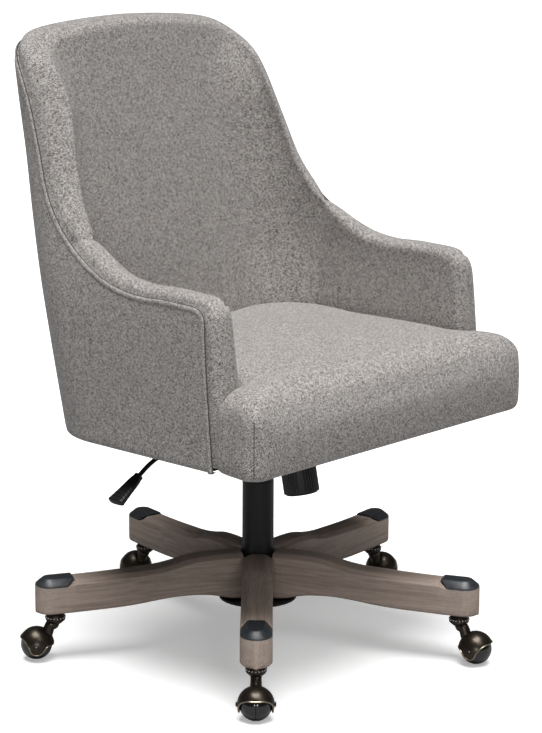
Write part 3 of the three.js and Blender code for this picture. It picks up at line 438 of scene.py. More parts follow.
FABRIC = cloth_material("heathered twill", (0.030, 0.027, 0.026, 1), (0.52, 0.492, 0.47, 1))
PIPING = cloth_material("piping twill", (0.040, 0.037, 0.035, 1), (0.51, 0.482, 0.46, 1))
# painted shade: a near-black colour for thin cords laid along fabric creases, standing in for the shadow that
# falls in those grooves
SEAM_SHADE = hard_material("painted seam shadow", (0.045, 0.042, 0.040, 1), 0.9)
DUST_CLOTH = hard_material("black dust cloth", (0.02, 0.02, 0.02, 1), 0.95, grain=0.5)
PLYWOOD = hard_material("birch plywood", (0.55, 0.40, 0.24, 1), 0.7)
BLACK_STEEL = hard_material("black powder coat", (0.007, 0.007, 0.0075, 1), 0.34, 0.0, (0.03, 0.03, 0.03, 1),
                            0.3, 0.12, specular=0.2)
BRIGHT_STEEL = hard_material("ground steel", (0.55, 0.55, 0.56, 1), 0.25, 1.0)
SPRING_STEEL = hard_material("spring steel", (0.22, 0.22, 0.23, 1), 0.35, 1.0)
BLACK_PLASTIC = hard_material("moulded black", (0.008, 0.008, 0.008, 1), 0.4, 0.0, grain=0.1, specular=0.35)
CAP_PLASTIC = hard_material("leg cap blue-black", (0.018, 0.021, 0.025, 1), 0.36, 0.0, (0.10, 0.11, 0.12, 1),
                            0.5, 0.12)
BRONZE = hard_material("antique bronze", (0.050, 0.041, 0.032, 1), 0.30, 0.85, (0.16, 0.13, 0.10, 1), 0.5,
                       0.15)
BRIGHT_RIM = hard_material("rubbed bronze", (0.34, 0.29, 0.22, 1), 0.28, 1.0, grain=0.15)
BALL = hard_material("polished black", (0.008, 0.008, 0.008, 1), 0.12, 0.0, coat=0.6, grain=0.0)
WOOD = {leg: wood_material("grey-washed wood " + leg.replace("_", " "), angle) for leg,
        angle in zip(LEGS, LEG_ANGLES)}

# ---------------------------------------------------------------- shell surfaces
Z_LEVELS = [369, 500, 600, 690, 786, 862, 1010]
outer_half = through(Z_LEVELS, [308, 308, 303, 288, 272, 261, 244])
outer_rear = through(Z_LEVELS, [192, 219, 241, 260, 279, 295, 326])
outer_corner = through(Z_LEVELS, [136, 130, 121, 100, 80, 64, 46])
ROOM_LEVELS = [369, 500, 600, 690, 786, 862, 905, 950, 1010]
room_half = through(ROOM_LEVELS, [248, 251, 256, 249, 241, 236, 250, 288, 320])
BOTTOM, ARM_TOP = 369.0, 603.0
ROOM_CORNER = 105.0


def room_rear(z):
    return 176 + 0.18 * (z - 498)


def ray_length(angle, half, rear, corner):
    """How far a level ray from the swivel axis goes to a rounded U, at an angle from the side axis."""
    c, s = math.cos(angle), math.sin(angle)
    if s < 1e-9 or half / c * s <= rear - corner:
        return half / c
    if c < 1e-9 or rear / s * c <= half - corner:
        return rear / s
    cx, cy = half - corner, rear - corner
    dot = c * cx + s * cy
    return dot + math.sqrt(max(dot * dot - cx * cx - cy * cy + corner * corner, 0.0))


def front_line(z):
    return -194 + 0.09 * (z - BOTTOM)


def on_outer(p, z, inset=0.0):
    """A point of the outer face: p is -1 at the arm's front, 0 beside the axis, 1 at the back's middle."""
    half, rear = float(outer_half(z)) - inset, float(outer_rear(z)) - inset
    corner = float(outer_corner(z)) - inset * 0.8
    if p <= 0:
        return np.array([-half, -p * front_line(z), z])
    a = p * math.pi / 2
    r = ray_length(a, half, rear, corner)
    return np.array([-r * math.cos(a), r * math.sin(a), z])


def on_room(p, z, y=None):
    """A point of the padding's inner face."""
    half = float(room_half(z))
    if p <= 0:
        return np.array([-half, -p * front_line(z) if y is None else y, z])
    a = p * math.pi / 2
    r = ray_length(a, half, room_rear(z), ROOM_CORNER)
    return np.array([-r * math.cos(a), r * math.sin(a), z])


WING = [(-40, 1), (20, 11), (81, 38), (138, 80), (175, 127), (200, 183), (235, 259), (285, 339), (318, 395)]
TOP_CROWN, TOP_SHOULDER, TOP_CORNER = 977.0, 964.0, 44.0
TOP_INSET = 15.0


def catmull(points, per=24):
    p = np.array(points, float)
    p = np.vstack([2 * p[0] - p[1], p, 2 * p[-1] - p[-2]])
    out = []
    for i in range(1, len(p) - 2):
        for k in range(per):
            t = k / per
            a, b, c, d = p[i - 1:i + 3]
            square, cube = (2 * a - 5 * b + 4 * c - d) * t**2, (-a + 3 * b - 3 * c + d) * t**3
            out.append(0.5 * ((2 * b) + (-a + c) * t + square + cube))
    out.append(p[-2])
    return np.array(out)


def x_on_outer(y, z):
    half, rear, corner = float(outer_half(z)), float(outer_rear(z)), float(outer_corner(z))
    d = y - (rear - corner)
    return half if d <= 0 else half - corner + math.sqrt(max(corner**2 - d * d, 0))


def y_on_outer(x, z):
    half, rear, corner = float(outer_half(z)), float(outer_rear(z)), float(outer_corner(z))
    d = x - (half - corner)
    return rear if d <= 0 else rear - corner + math.sqrt(max(corner**2 - d * d, 0))


def resample(path, step):
    path = np.asarray(path, float)
    length = np.concatenate([[0], np.cumsum(np.linalg.norm(np.diff(path, axis=0), axis=1))])
    count = max(int(round(length[-1] / step)), 2)
    at = np.linspace(0, length[-1], count + 1)
    return np.stack([np.interp(at, length, path[:, k]) for k in range(path.shape[1])], axis=1)


def smoothed(path, rounds, keep=1):
    path = path.copy()
    for _ in range(rounds):
        before, after = path[keep - 1:-keep - 1], path[keep + 1:len(path) - keep + 1]
        path[keep:-keep] = 0.25 * before + 0.5 * path[keep:-keep] + 0.25 * after
    return path


def shell_edge():
    """The outer panel's edge on the sitter's right, from the arm's foot up to the middle of the back."""
    side = [(front_line(z), z) for z in np.linspace(BOTTOM, ARM_TOP - 14, 60)]
    centre = (front_line(ARM_TOP - 14) + 14, ARM_TOP - 14)
    turn = np.linspace(0.05, math.pi / 2, 12)
    side += [(centre[0] - 14 * math.cos(a), centre[1] + 14 * math.sin(a)) for a in turn]
    side += [(y, ARM_TOP + rise) for y, rise in catmull([(-150, 3), (-90, 2.5)] + WING)[25:]]
    path = []
    for y, z in side:
        x = x_on_outer(y, z)
        shoulder = float(outer_half(TOP_SHOULDER)) - TOP_INSET
        corner = TOP_CORNER - TOP_INSET
        rise = z - (TOP_SHOULDER - TOP_INSET - corner)
        if rise > 0:
            limit = shoulder - corner + math.sqrt(max(corner**2 - min(rise, corner) ** 2, 0))
            if limit < x:
                break
        path.append((-x, y, z))
    flat = shoulder - corner
    first = abs(path[-1][0])
    outline = []
    for a in np.linspace(0, math.pi / 2, 30):
        outline.append((flat + corner * math.cos(a),
                        TOP_SHOULDER - TOP_INSET - corner + corner * math.sin(a)))
    for x in np.linspace(flat, 0, 60)[1:]:
        outline.append((x, TOP_SHOULDER - TOP_INSET + (TOP_CROWN - TOP_SHOULDER) * (1 - (x / flat) ** 2)))
    for x, z in outline:
        if z > path[-1][2] and x < first:
            path.append((-x, y_on_outer(x, z), z))
    path = resample(path, 3.5)
    path = smoothed(path, 14)
    gentle = smoothed(path, 110)
    share = np.clip((path[:, 2] - 860) / 50.0, 0, 1)[:, None]
    return resample(path + (gentle - path) * share * share * (3 - 2 * share), 4.0)


EDGE = shell_edge()


def column_of(point):
    x, y, z = -point[0], point[1], point[2]
    return -y / front_line(z) if y <= 0 else math.atan2(y, x) / (math.pi / 2)


EDGE_P = np.array([column_of(e) for e in EDGE])
EDGE_P[0] = -1.0
TANGENT = np.gradient(EDGE, axis=0)
TANGENT /= np.linalg.norm(TANGENT, axis=1)[:, None]


def face_normal(p, z):
    a, b = on_outer(p - 0.004, z), on_outer(p + 0.004, z)
    c = on_outer(p, z + 2.0) - on_outer(p, z - 2.0)
    n = np.cross(c, b - a)
    n /= np.linalg.norm(n)
    return n if n.dot(np.array([on_outer(p, z)[0], max(on_outer(p, z)[1], 0), 0])) > 0 else -n


NORMAL = smoothed(np.array([face_normal(min(max(p, -1), 0.999), e[2]) for p, e in zip(EDGE_P, EDGE)]), 6)
NORMAL[-1] = (0, NORMAL[-1][1], NORMAL[-1][2])
NORMAL /= np.linalg.norm(NORMAL, axis=1)[:, None]
RISE = np.cross(TANGENT, NORMAL)
RISE /= np.linalg.norm(RISE, axis=1)[:, None]
if RISE[30][1] > 0:
    RISE = -RISE
ARC = np.concatenate([[0], np.cumsum(np.linalg.norm(np.diff(EDGE, axis=0), axis=1))])
CORNER_AT = int(np.argmin(np.linalg.norm(EDGE[:90] - np.array([-301, front_line(597) + 6, 597.2]), axis=1)))
off_seam = np.abs(EDGE[CORNER_AT:, 1] - 114) + np.abs(EDGE[CORNER_AT:, 2] - 665) * 0.1
SEAM_AT = CORNER_AT + int(np.argmin(off_seam))


def mirrored(grid):
    return grid[:, ::-1] * np.array([-1, 1, 1])


# ---------------------------------------------------------------- outer panel and piping
def build_outer_panel():
    rows = 46
    columns = []
    for i in range(len(EDGE)):
        top = EDGE[i][2]
        column = [on_outer(EDGE_P[i], BOTTOM + 0.6, 11.0), on_outer(EDGE_P[i], BOTTOM, 4.0)]
        for k in range(rows):
            t = k / (rows - 1)
            t = 1 - (1 - t) ** 1.35
            z = BOTTOM + 1.2 + (top - BOTTOM - 1.2) * t
            depth = top - z
            dip = 1.6 * math.exp(-(depth / 5.0) ** 2) + 0.8 * math.exp(-((z - BOTTOM) / 3.0) ** 2)
            column.append(on_outer(EDGE_P[i], z, dip))
        column.append(EDGE[i] - NORMAL[i] * 4.0)
        columns.append(column)
    half = np.array(columns).transpose(1, 0, 2)
    whole = np.concatenate([half, mirrored(half)[:, 1:]], axis=1)
    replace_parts(grid_object("outer_panel", whole, "seat", FABRIC), "outer_cover")


def both_ways(path):
    return np.concatenate([path, path[::-1][1:] * np.array([-1, 1, 1])])


def build_piping():
    path, up = both_ways(EDGE - NORMAL * 1.0 - RISE * 3.0), both_ways(NORMAL)
    cord = tube_object("piping_strip", path, (4.1, 2.6), "seat", PIPING, sides=10, up=up)
    # painted shadow: a thin dark cord in the groove beside the piping stands in for the shade that falls in
    # that crease
    shadow_line = both_ways(EDGE - NORMAL * 1.6 + RISE * 1.0)
    tube_object("piping_shadow_line", shadow_line, (0.95, 0.95), "seat", SEAM_SHADE, sides=6)
    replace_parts(cord, "welt")


# ---------------------------------------------------------------- padding over the arms and the back
ROLL_ROWS, INNER_ROWS = 16, 26
FRONT_ROLL, SIDE_ROLL = 20.0, 18.0  # how far the padding stands proud in front of the arm and along it
ROUNDNESS = 0.78
PADDING_FOOT = 472.0  # where the padding's inner face ends, behind the seat
MEET_AT = CORNER_AT + int(np.argmax(EDGE[CORNER_AT:, 1] > -120.0))
MEET_Y = float(on_room(min(EDGE_P[MEET_AT], 0.0), EDGE[MEET_AT][2] - 4.0)[1])
MEET_Z = 555.0


def pad_column(i):
    """One section of the padding: from the piping over the roll and down its inner face to the seat."""
    p, z = EDGE_P[i], EDGE[i][2]
    outside = EDGE[i] - NORMAL[i] * 6.0
    front = i < CORNER_AT
    inside = on_room(min(p, 1.0), z if front else z - 4.0)
    blend = np.clip((z - 860) / 80.0, 0, 1)
    height = SIDE_ROLL * (1 - blend) + TOP_INSET * blend
    at_front = np.clip((CORNER_AT + 6 - i) / 12.0, 0, 1)
    height += (FRONT_ROLL - height) * at_front * at_front * (3 - 2 * at_front)
    section = [EDGE[i] - NORMAL[i] * 2.0 - RISE[i] * 6.0]
    for k in range(ROLL_ROWS + 1):
        c = k / ROLL_ROWS
        s = 0.5 - 0.5 * np.sign(math.cos(math.pi * c)) * abs(math.cos(math.pi * c)) ** ROUNDNESS
        b = math.sin(math.pi * c) ** ROUNDNESS if 0 < k < ROLL_ROWS else 0.0
        section.append(outside + (inside - outside) * s + RISE[i] * height * b)
    # in from the roll: level behind the arm's front, straight down elsewhere, meeting at one point between
    for k in range(1, INNER_ROWS + 1):
        t = k / INNER_ROWS
        if front or inside[1] < MEET_Y - 0.01:
            target_z = min(z, MEET_Z) if front else MEET_Z
            z_here, y_here = inside[2] + (target_z - inside[2]) * t, inside[1] + (MEET_Y - inside[1]) * t
            section.append(on_room(-1, z_here, y_here))
        elif p <= 0:
            section.append(on_room(-1, inside[2] + (PADDING_FOOT - inside[2]) * t, inside[1]))
        else:
            section.append(on_room(p, inside[2] + (PADDING_FOOT - inside[2]) * t))
    return section


def padding_grid():
    first = int(np.argmin(np.abs(EDGE[:60, 2] - 376)))
    grid = np.array([pad_column(i) for i in range(first, len(EDGE))]).transpose(1, 0, 2)
    return first, grid


def grid_normals(grid):
    """Normals of a grid of points, facing the sitter's side."""
    n = np.cross(np.gradient(grid, axis=0), np.gradient(grid, axis=1))
    size = np.linalg.norm(n, axis=2)[:, :, None]
    n = n / (size + 1e-9)
    room = np.array([0, -60.0, 640.0])
    if (n[30, 40:] * (room - grid[30, 40:])).sum(axis=1).mean() < 0:
        n = -n
    return n


def pinch(grid, column, depth, width, arc, low=1.0, slant=0.0):
    """Draw the cloth in along a seam across the grid; below the roll it fades to a share of its depth."""
    rows = grid.shape[0]
    inner = np.clip((np.arange(rows) - ROLL_ROWS) / 12.0, 0, 1)
    fade = 1 - (1 - low) * inner * inner * (3 - 2 * inner)
    away = np.abs(arc[None, :] - arc[column] - slant * inner[:, None])
    amount = depth * np.exp(-(away / width) ** 2) * fade[:, None]
    return grid - grid_normals(grid) * amount[:, :, None]


def share_normals(piece, points, normals):
    """Give a piece the normals of the whole padding, so that its edges don't show against its neighbours."""
    tree = KDTree(len(points))
    for i, point in enumerate(points):
        tree.insert(point, i)
    tree.balance()
    chosen = [normals[tree.find(v.co)[1]] for v in piece.data.vertices]
    piece.data.normals_split_custom_set_from_vertices([tuple(n) for n in chosen])


def build_padding():
    first, half = padding_grid()
    arc = ARC[first:]
    seam, corner = SEAM_AT - first, CORNER_AT - first
    half = pinch(half, seam, 4.5, 4.5, arc, low=0.0)
    half = pinch(half, seam, 5.0, 26.0, arc, low=0.35, slant=14.0)
    half = pinch(half, corner, 2.6, 2.8, arc, low=0.0)
    whole = np.concatenate([half, mirrored(half)[:, 1:]], axis=1)
    normals = grid_normals(whole)
    points = [Vector(p) for p in place(whole.reshape(-1, 3))]
    normals = normals.reshape(-1, 3)

    def part(name, grid, *replaced):
        piece = grid_object(name, grid, "seat", FABRIC)
        middle = piece.data.polygons[len(piece.data.polygons) // 2]
        nearest = int(np.argmin(np.abs(np.array(points) - np.array(middle.center)).sum(axis=1)))
        if middle.normal.dot(Vector(normals[nearest])) < 0:
            piece.data.flip_normals()
        share_normals(piece, points, normals)
        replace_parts(piece, *replaced)
        return piece

    arm, back = half[:, :seam + 1], half[:, seam:]
    for side in ("right", "left"):
        grid = arm if side == "right" else mirrored(arm)
        part("arm_padding_" + side, grid, "arm_pad_" + side, "arm_facing_" + side)
    part("back_padding", np.concatenate([back, mirrored(back)[:, 1:]], axis=1), "back_cushion")


# ---------------------------------------------------------------- seat cushion
def rounded_ring(half, front, rear, corner_front, corner_rear, z, steps=10):
    ring = []
    for sx, sy, start in ((1, 1, 0), (-1, 1, 1), (-1, -1, 2), (1, -1, 3)):
        c = corner_rear if sy > 0 else corner_front
        for i in range(steps + 1):
            a = (start + i / steps) * math.pi / 2
            x = sx * (half - c) + c * math.cos(a)
            y = (rear - c if sy > 0 else front + c) + c * math.sin(a)
            ring.append((x, y, z))
    return ring


def loft_faces(rings):
    return capped_faces(len(rings), len(rings[0]))


def seat_rough():
    """The seat's soft block: a border as wide as the shell, and the seat between the arms behind it."""
    wide, tall, top = 56.0, 44.0, 497.5  # how far the front border's roll goes in and down, and its top
    half, front = 309, -284
    ears = [(10, 367.4), (2, 366.2), (0, 370.0), (0, 410.0), (0, top - tall)]
    for k in range(1, 11):
        a = k / 10 * math.pi / 2
        ears.append((wide * (1 - math.cos(a) ** 0.9), top - tall + tall * math.sin(a) ** 0.9))
    rings = []
    for inset, z in ears:
        rear_in = min(inset, 8.0)
        front_in = inset * 0.80
        rings.append(rounded_ring(half - inset, front + front_in, -193 - rear_in, 15 + inset * 0.35, 9, z))
    rings.append(rounded_ring(half - wide - 6, front + wide * 0.8 + 5, -208, 30, 10, top + 0.6))
    verts = [v for ring in rings for v in ring]
    faces = loft_faces(rings)
    crown = [(0, 392.0), (0, 470.0), (1, 483.0), (5, 491.0), (14, 497.0), (40, 500.5), (80, 503.5),
             (120, 505.8)]
    crown.append((165, 507.4))
    rings = []
    for inset, z in crown:
        rings.append(rounded_ring(253 - inset, -228 + inset * 0.9, 175 - inset, 20, max(100 - inset, 20), z))
    offset = len(verts)
    verts += [v for ring in rings for v in ring]
    faces += [tuple(offset + k for k in f) for f in loft_faces(rings)]
    return np.array(verts), faces


def smooth_mesh(piece, rounds, factor=0.5):
    b = bmesh.new()
    b.from_mesh(piece.data)
    for _ in range(rounds):
        bmesh.ops.smooth_vert(b, verts=b.verts, factor=factor,
                              use_axis_x=True, use_axis_y=True, use_axis_z=True)
    b.to_mesh(piece.data)
    b.free()


def apply_modifiers(piece):
    graph = bpy.context.evaluated_depsgraph_get()
    mesh = bpy.data.meshes.new_from_object(piece.evaluated_get(graph))
    piece.modifiers.clear()
    old = piece.data
    piece.data = mesh
    bpy.data.meshes.remove(old)


def coordinates(mesh):
    co = np.empty(len(mesh.vertices) * 3)
    mesh.vertices.foreach_get("co", co)
    return co.reshape(-1, 3)


def puff(piece, pressure, cap, pinned, frames=20):
    """Cloth pressure swells the piece. Where pinned is 1 it stays, and no point moves further than cap."""
    start = coordinates(piece.data)
    hold = piece.vertex_groups.new(name="hold")
    for i, value in enumerate(pinned(start)):
        if value > 0:
            hold.add([i], float(value), "REPLACE")
    cloth = piece.modifiers.new("swell", "CLOTH")
    cloth.settings.use_pressure = True
    cloth.settings.uniform_pressure_force = pressure
    cloth.settings.effector_weights.gravity = 0.0
    cloth.settings.vertex_group_mass = "hold"
    cloth.settings.tension_stiffness = 15
    cloth.settings.compression_stiffness = 15
    cloth.settings.bending_stiffness = 2
    cloth.point_cache.frame_start, cloth.point_cache.frame_end = 1, frames
    scene = bpy.context.scene
    for f in range(1, frames + 1):
        scene.frame_set(f)
    graph = bpy.context.evaluated_depsgraph_get()
    moved = coordinates(piece.evaluated_get(graph).data)
    piece.modifiers.clear()
    scene.frame_set(1)
    step = moved - start
    length = np.linalg.norm(step, axis=1)[:, None] + 1e-9
    step *= np.minimum(1.0, cap / length)
    piece.data.vertices.foreach_set("co", (start + step).ravel())
    piece.data.update()


PRESSURE, MOST_SWELL = 1.6, 0.004
CORNER_IN = (0.72, 0.69)  # from a front corner in toward the seat, seen from above


def build_seat():
    verts, faces = seat_rough()
    mesh = bpy.data.meshes.new("seat_padding")
    mesh.from_pydata([tuple(v) for v in place(verts)], [], faces)
    piece = bpy.data.objects.new("seat_padding", mesh)
    bpy.context.scene.collection.objects.link(piece)
    outward(piece)
    remesh = piece.modifiers.new("even", "REMESH")
    remesh.mode = "VOXEL"
    remesh.voxel_size = 0.0062
    apply_modifiers(piece)
    smooth_mesh(piece, 5)
    floor_level = place([0, 0, 400])[2]

    def held(co):
        return np.clip((floor_level - co[:, 2]) / 0.02, 0, 1)

    puff(piece, PRESSURE, MOST_SWELL, held)
    smooth_mesh(piece, 9)
    # darts at the front corners, and the shallow dip beside the arms
    co = coordinates(piece.data) * 1000 - AXIS
    forward = np.clip((-200 - co[:, 1]) / 75.0, 0, 1)
    co[:, 0] *= 1 + 0.022 * forward * forward * (3 - 2 * forward)
    for side in (-1, 1):
        corner = np.array([side * 311.0, -279.0])
        toward = np.array([-side * CORNER_IN[0], CORNER_IN[1]])
        offset = co[:, :2] - corner
        across = offset @ np.array([toward[1], -toward[0]])
        depth = offset @ toward
        fade = 1 / (1 + np.exp((co[:, 2] - 452) / 7.0)) * np.exp(-(np.maximum(depth, 0) / 30.0) ** 2)
        push = (6.0 * np.exp(-(across / 6.5) ** 2) - 2.2 * np.exp(-((np.abs(across) - 15) / 7.0) ** 2)) * fade
        co[:, 0] += toward[0] * push
        co[:, 1] += toward[1] * push
    piece.data.vertices.foreach_set("co", place(co).ravel())
    piece.data.update()
    subdivide = piece.modifiers.new("fine", "SUBSURF")
    subdivide.levels = subdivide.render_levels = 1
    apply_modifiers(piece)
    piece.data.polygons.foreach_set("use_smooth", [True] * len(piece.data.polygons))
    finish_piece(piece, "seat", FABRIC)
    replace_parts(piece, "seat_cushion")
    # painted shadow: thin dark cords down each front corner dart stand in for the shade in those fine creases
    for side, label in ((-1, "right"), (1, "left")):
        path = []
        toward = Vector((-side * CORNER_IN[0], CORNER_IN[1], 0))
        for z in np.linspace(372.0, 458.0, 30):
            start = Vector(place([side * 345.0, -312.0, z]))
            hit, where, _, _ = piece.ray_cast(start, toward, distance=0.12)
            if hit:
                path.append(np.array(where) * 1000 - AXIS - np.array(toward) * 0.1)
        path = smoothed(np.array(path), 3)
        tube_object("corner_crease_shadow_" + label, path, (0.55, 0.55), "seat", SEAM_SHADE, sides=8)


# ---------------------------------------------------------------- turned and swept shapes
def lathe(profile, segments=48):
    """Vertices and faces of a profile of (radius, height) pairs turned round the Z axis."""
    verts = []
    for r, z in profile:
        for k in range(segments):
            a = 2 * math.pi * k / segments
            verts.append((r * math.cos(a), r * math.sin(a), z))
    return np.array(verts), capped_faces(len(profile), segments)


def rounded_profile(points, radius, steps=4):
    """The profile with each of its inner corners rounded."""
    out = [points[0]]
    for before, corner, after in zip(points, points[1:], points[2:]):
        before, corner, after = (np.array(q, float) for q in (before, corner, after))
        a, b = before - corner, after - corner
        cut = min(radius, np.linalg.norm(a) * 0.45, np.linalg.norm(b) * 0.45)
        start, end = corner + a / np.linalg.norm(a) * cut, corner + b / np.linalg.norm(b) * cut
        for k in range(steps + 1):
            t = k / steps
            out.append(tuple((1 - t) ** 2 * start + 2 * t * (1 - t) * corner + t * t * end))
    out.append(points[-1])
    return out


def sweep(path, radii, sides=16):
    """Vertices and faces of a round bar along a path, with a radius at each point."""
    path = np.asarray(path, float)
    tangent = np.gradient(path, axis=0)
    tangent /= np.linalg.norm(tangent, axis=1)[:, None]
    side = np.cross(tangent, np.array([0, 1.0, 0.0]))
    side /= np.linalg.norm(side, axis=1)[:, None]
    other = np.cross(tangent, side)
    verts = []
    for i, at in enumerate(path):
        for k in range(sides):
            a = 2 * math.pi * k / sides
            verts.append(at + (side[i] * math.cos(a) + other[i] * math.sin(a)) * radii[i])
    return np.array(verts), capped_faces(len(path), sides)


def merged(*parts):
    verts, faces, offset = [], [], 0
    for v, f in parts:
        verts.append(np.asarray(v, float))
        faces += [tuple(offset + k for k in face) for face in f]
        offset += len(v)
    return np.concatenate(verts), faces


def turned_about(verts, angle, centre=(0, 0, 0)):
    """Turn points about the Z axis by an angle, then move them to a centre."""
    c, s = math.cos(angle), math.sin(angle)
    v = np.asarray(verts, float)
    return np.stack([v[:, 0] * c - v[:, 1] * s, v[:, 0] * s + v[:, 1] * c, v[:, 2]],
                    axis=1) + np.array(centre, float)


def rigid(name, shape, body, material, replaced=()):
    verts, faces = shape
    piece = mesh_object(name, place(verts), faces, body, material)
    outward(piece)
    piece.data.polygons.foreach_set("use_smooth", [True] * len(piece.data.polygons))
    piece.data.set_sharp_from_angle(angle=math.radians(32))
    if replaced:
        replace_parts(piece, *replaced)
    return piece


# ---------------------------------------------------------------- wooden legs and their caps
REACH, LEG_HALF = 361.0, 24.0
LEG_STATIONS = [12, 45, 86, 114, 140, 160, 210, 290, 337, 361]
leg_under = through(LEG_STATIONS, [74, 76, 85, 87.5, 87.5, 86, 81, 78.5, 78, 78])
leg_top = through(LEG_STATIONS, [147, 148, 148, 145.5, 139.5, 136, 132.5, 130, 130, 130])
CAP_START = REACH - 59.0


def leg_half(r):
    if r > REACH - LEG_HALF:
        return math.sqrt(max(LEG_HALF**2 - (r - REACH + LEG_HALF) ** 2, 0.05))
    return min(LEG_HALF, (r - 0.4) * math.tan(math.pi / 5))


def rounded_section(half, under, top, slope, drop, ease, steps=3):
    """A leg's cross-section: bevelled along the top, eased along the bottom, as (y, z) pairs."""
    corners = [(-half, under + ease), (-half + ease, under), (half - ease, under), (half, under + ease)]
    corners += [(half, top - drop), (half - slope, top), (-half + slope, top), (-half, top - drop)]
    ring = []
    for i, corner in enumerate(corners):
        before, after = np.array(corners[i - 1], float), np.array(corners[(i + 1) % len(corners)], float)
        at = np.array(corner, float)
        a, b = before - at, after - at
        cut = min(1.3, np.linalg.norm(a) * 0.4, np.linalg.norm(b) * 0.4)
        start, end = at + a / (np.linalg.norm(a) + 1e-9) * cut, at + b / (np.linalg.norm(b) + 1e-9) * cut
        for k in range(steps + 1):
            t = k / steps
            ring.append(tuple((1 - t) ** 2 * start + 2 * t * (1 - t) * at + t * t * end))
    return ring


def leg_shape():
    stations = list(np.linspace(29.8, CAP_START - 0.4, 60)) + [CAP_START - 0.35]
    stations += list(np.linspace(CAP_START + 13, REACH - LEG_HALF, 8))
    stations += [REACH - LEG_HALF + LEG_HALF * math.sin(a) for a in np.linspace(0, math.pi / 2, 18)[1:]]
    rings = []
    for r in stations:
        half = leg_half(r)
        cut = 400.0 if r < CAP_START - 0.38 else 128.0 - 6.9 * min((r - CAP_START + 0.35) / 13.35, 1.0)
        ease = 3.0 + 3.0 * max(0.0, (r - REACH + 8) / 8)
        under, top = float(leg_under(r)), float(leg_top(r))
        ring = rounded_section(half, under, top, min(10.0, half * 0.6), 5.5, min(ease, half * 0.5))
        rings.append([(r, y, min(z, cut)) for y, z in ring])
    return np.array([v for ring in rings for v in ring]), loft_faces(rings)


def cap_shape():
    half, reach = LEG_HALF - 0.2, REACH - 0.4

    def ring(inset, start, z):
        centre, points = reach - half, []
        corner = 2.5
        for a in np.linspace(math.pi, 1.5 * math.pi, 5):
            points.append((start + corner + corner * math.cos(a),
                           -half + inset + corner + corner * math.sin(a), z))
        for a in np.linspace(-math.pi / 2, math.pi / 2, 33):
            points.append((centre + (half - inset) * math.cos(a), (half - inset) * math.sin(a), z))
        for a in np.linspace(math.pi / 2, math.pi, 5):
            points.append((start + corner + corner * math.cos(a),
                           half - inset - corner + corner * math.sin(a), z))
        return points

    levels = [(0, CAP_START + 13, 121.5), (0, CAP_START + 11, 123.2), (0.5, CAP_START + 10.2, 124.2)]
    levels += [(9.2, CAP_START + 1.0, 131.5), (10.2, CAP_START + 0.4, 132.3), (11.4, CAP_START + 1.0, 133.0),
               (12.6, CAP_START + 2.4, 133.1)]
    rings = [ring(*level) for level in levels]
    return np.array([v for r in rings for v in r]), loft_faces(rings)


def build_legs():
    wood, cap = leg_shape(), cap_shape()
    for leg, angle in zip(LEGS, LEG_ANGLES):
        rigid("leg_wood_" + leg, (turned_about(wood[0], angle), wood[1]), "base", WOOD[leg],
              ["leg_" + leg])
        rigid("leg_end_cap_" + leg, (turned_about(cap[0], angle), cap[1]), "base",
              CAP_PLASTIC, ["leg_cap_" + leg])


# ---------------------------------------------------------------- casters
BALL_R, TRAIL, COWL_R = 24.4, 30.0, 27.5
CASTER_TURNS = [0, -11, 0, 0, -13]
STEM_REACH, RACE_TOP = REACH - 31.0, 74.5


def on_side(shape, centre):
    """Turn a lathed shape so that its axis lies along Y, and move it to a centre."""
    v, faces = shape
    return np.stack([v[:, 0], v[:, 2], v[:, 1]], axis=1) + np.array(centre, float), faces


def cowl_edge():
    c, h = TRAIL, BALL_R
    points = [(c - 60, 0, h + 3), (c - COWL_R, 0, h + 2), (c - COWL_R * 0.62, 0, h + 0.5), (c - 8, 0, h - 9),
              (c, 0, h - 11.5)]
    points += [(c + 7, 0, h - 8), (c + 12, 0, h + 2.5), (c + COWL_R * 0.72, 0, h + 11),
               (c + COWL_R, 0, h + 12.5), (c + 60, 0, h + 14)]
    return catmull(points, 16)


def loose_mesh(name, shape):
    verts, faces = shape
    mesh = bpy.data.meshes.new(name)
    mesh.from_pydata([tuple(v) for v in verts], [], faces)
    item = bpy.data.objects.new(name, mesh)
    bpy.context.scene.collection.objects.link(item)
    outward(item)
    return item


def cowl_shape():
    """The cowl's shell, cut along its lower edge. Vertices and faces."""
    centre = (TRAIL, 0, BALL_R)
    steps = np.linspace(-math.pi / 2 + 0.04, math.pi / 2 - 0.04, 33)
    ball = []
    for r in (COWL_R, BALL_R + 1.5):
        profile = [(r * math.cos(a), r * math.sin(a)) for a in steps]
        ball.append(loose_mesh("cowl", on_side(lathe(profile, 64), centre)))
    edge = [(x, z) for x, _, z in cowl_edge()] + [(TRAIL + 60, -60), (TRAIL - 60, -60)]
    n = len(edge)
    verts = [(x, -60, z) for x, z in edge] + [(x, 60, z) for x, z in edge]
    faces = [tuple(range(n)), tuple(range(2 * n - 1, n - 1, -1))]
    faces += [(k, (k + 1) % n, n + (k + 1) % n, n + k) for k in range(n)]
    below = loose_mesh("below", (verts, faces))
    for tool in (ball[1], below):
        cut = ball[0].modifiers.new("cut", "BOOLEAN")
        cut.operation, cut.solver, cut.object = "DIFFERENCE", "EXACT", tool
    apply_modifiers(ball[0])
    shape = coordinates(ball[0].data), [tuple(f.vertices) for f in ball[0].data.polygons]
    for item in (*ball, below):
        bpy.data.objects.remove(item)
    return shape


def rim_path(radius):
    """The cowl's lower edge on both cheeks, as one closed loop."""
    c, h = TRAIL, BALL_R
    on = [(x, z) for x, _, z in cowl_edge() if (x - c) ** 2 + (z - h) ** 2 < radius**2]
    one = [(x, math.sqrt(radius**2 - (x - c) ** 2 - (z - h) ** 2), z) for x, z in on]
    loop = one + [(x, -y, z) for x, y, z in one[::-1]]
    return resample(np.array(loop + [loop[0]]), 1.6)


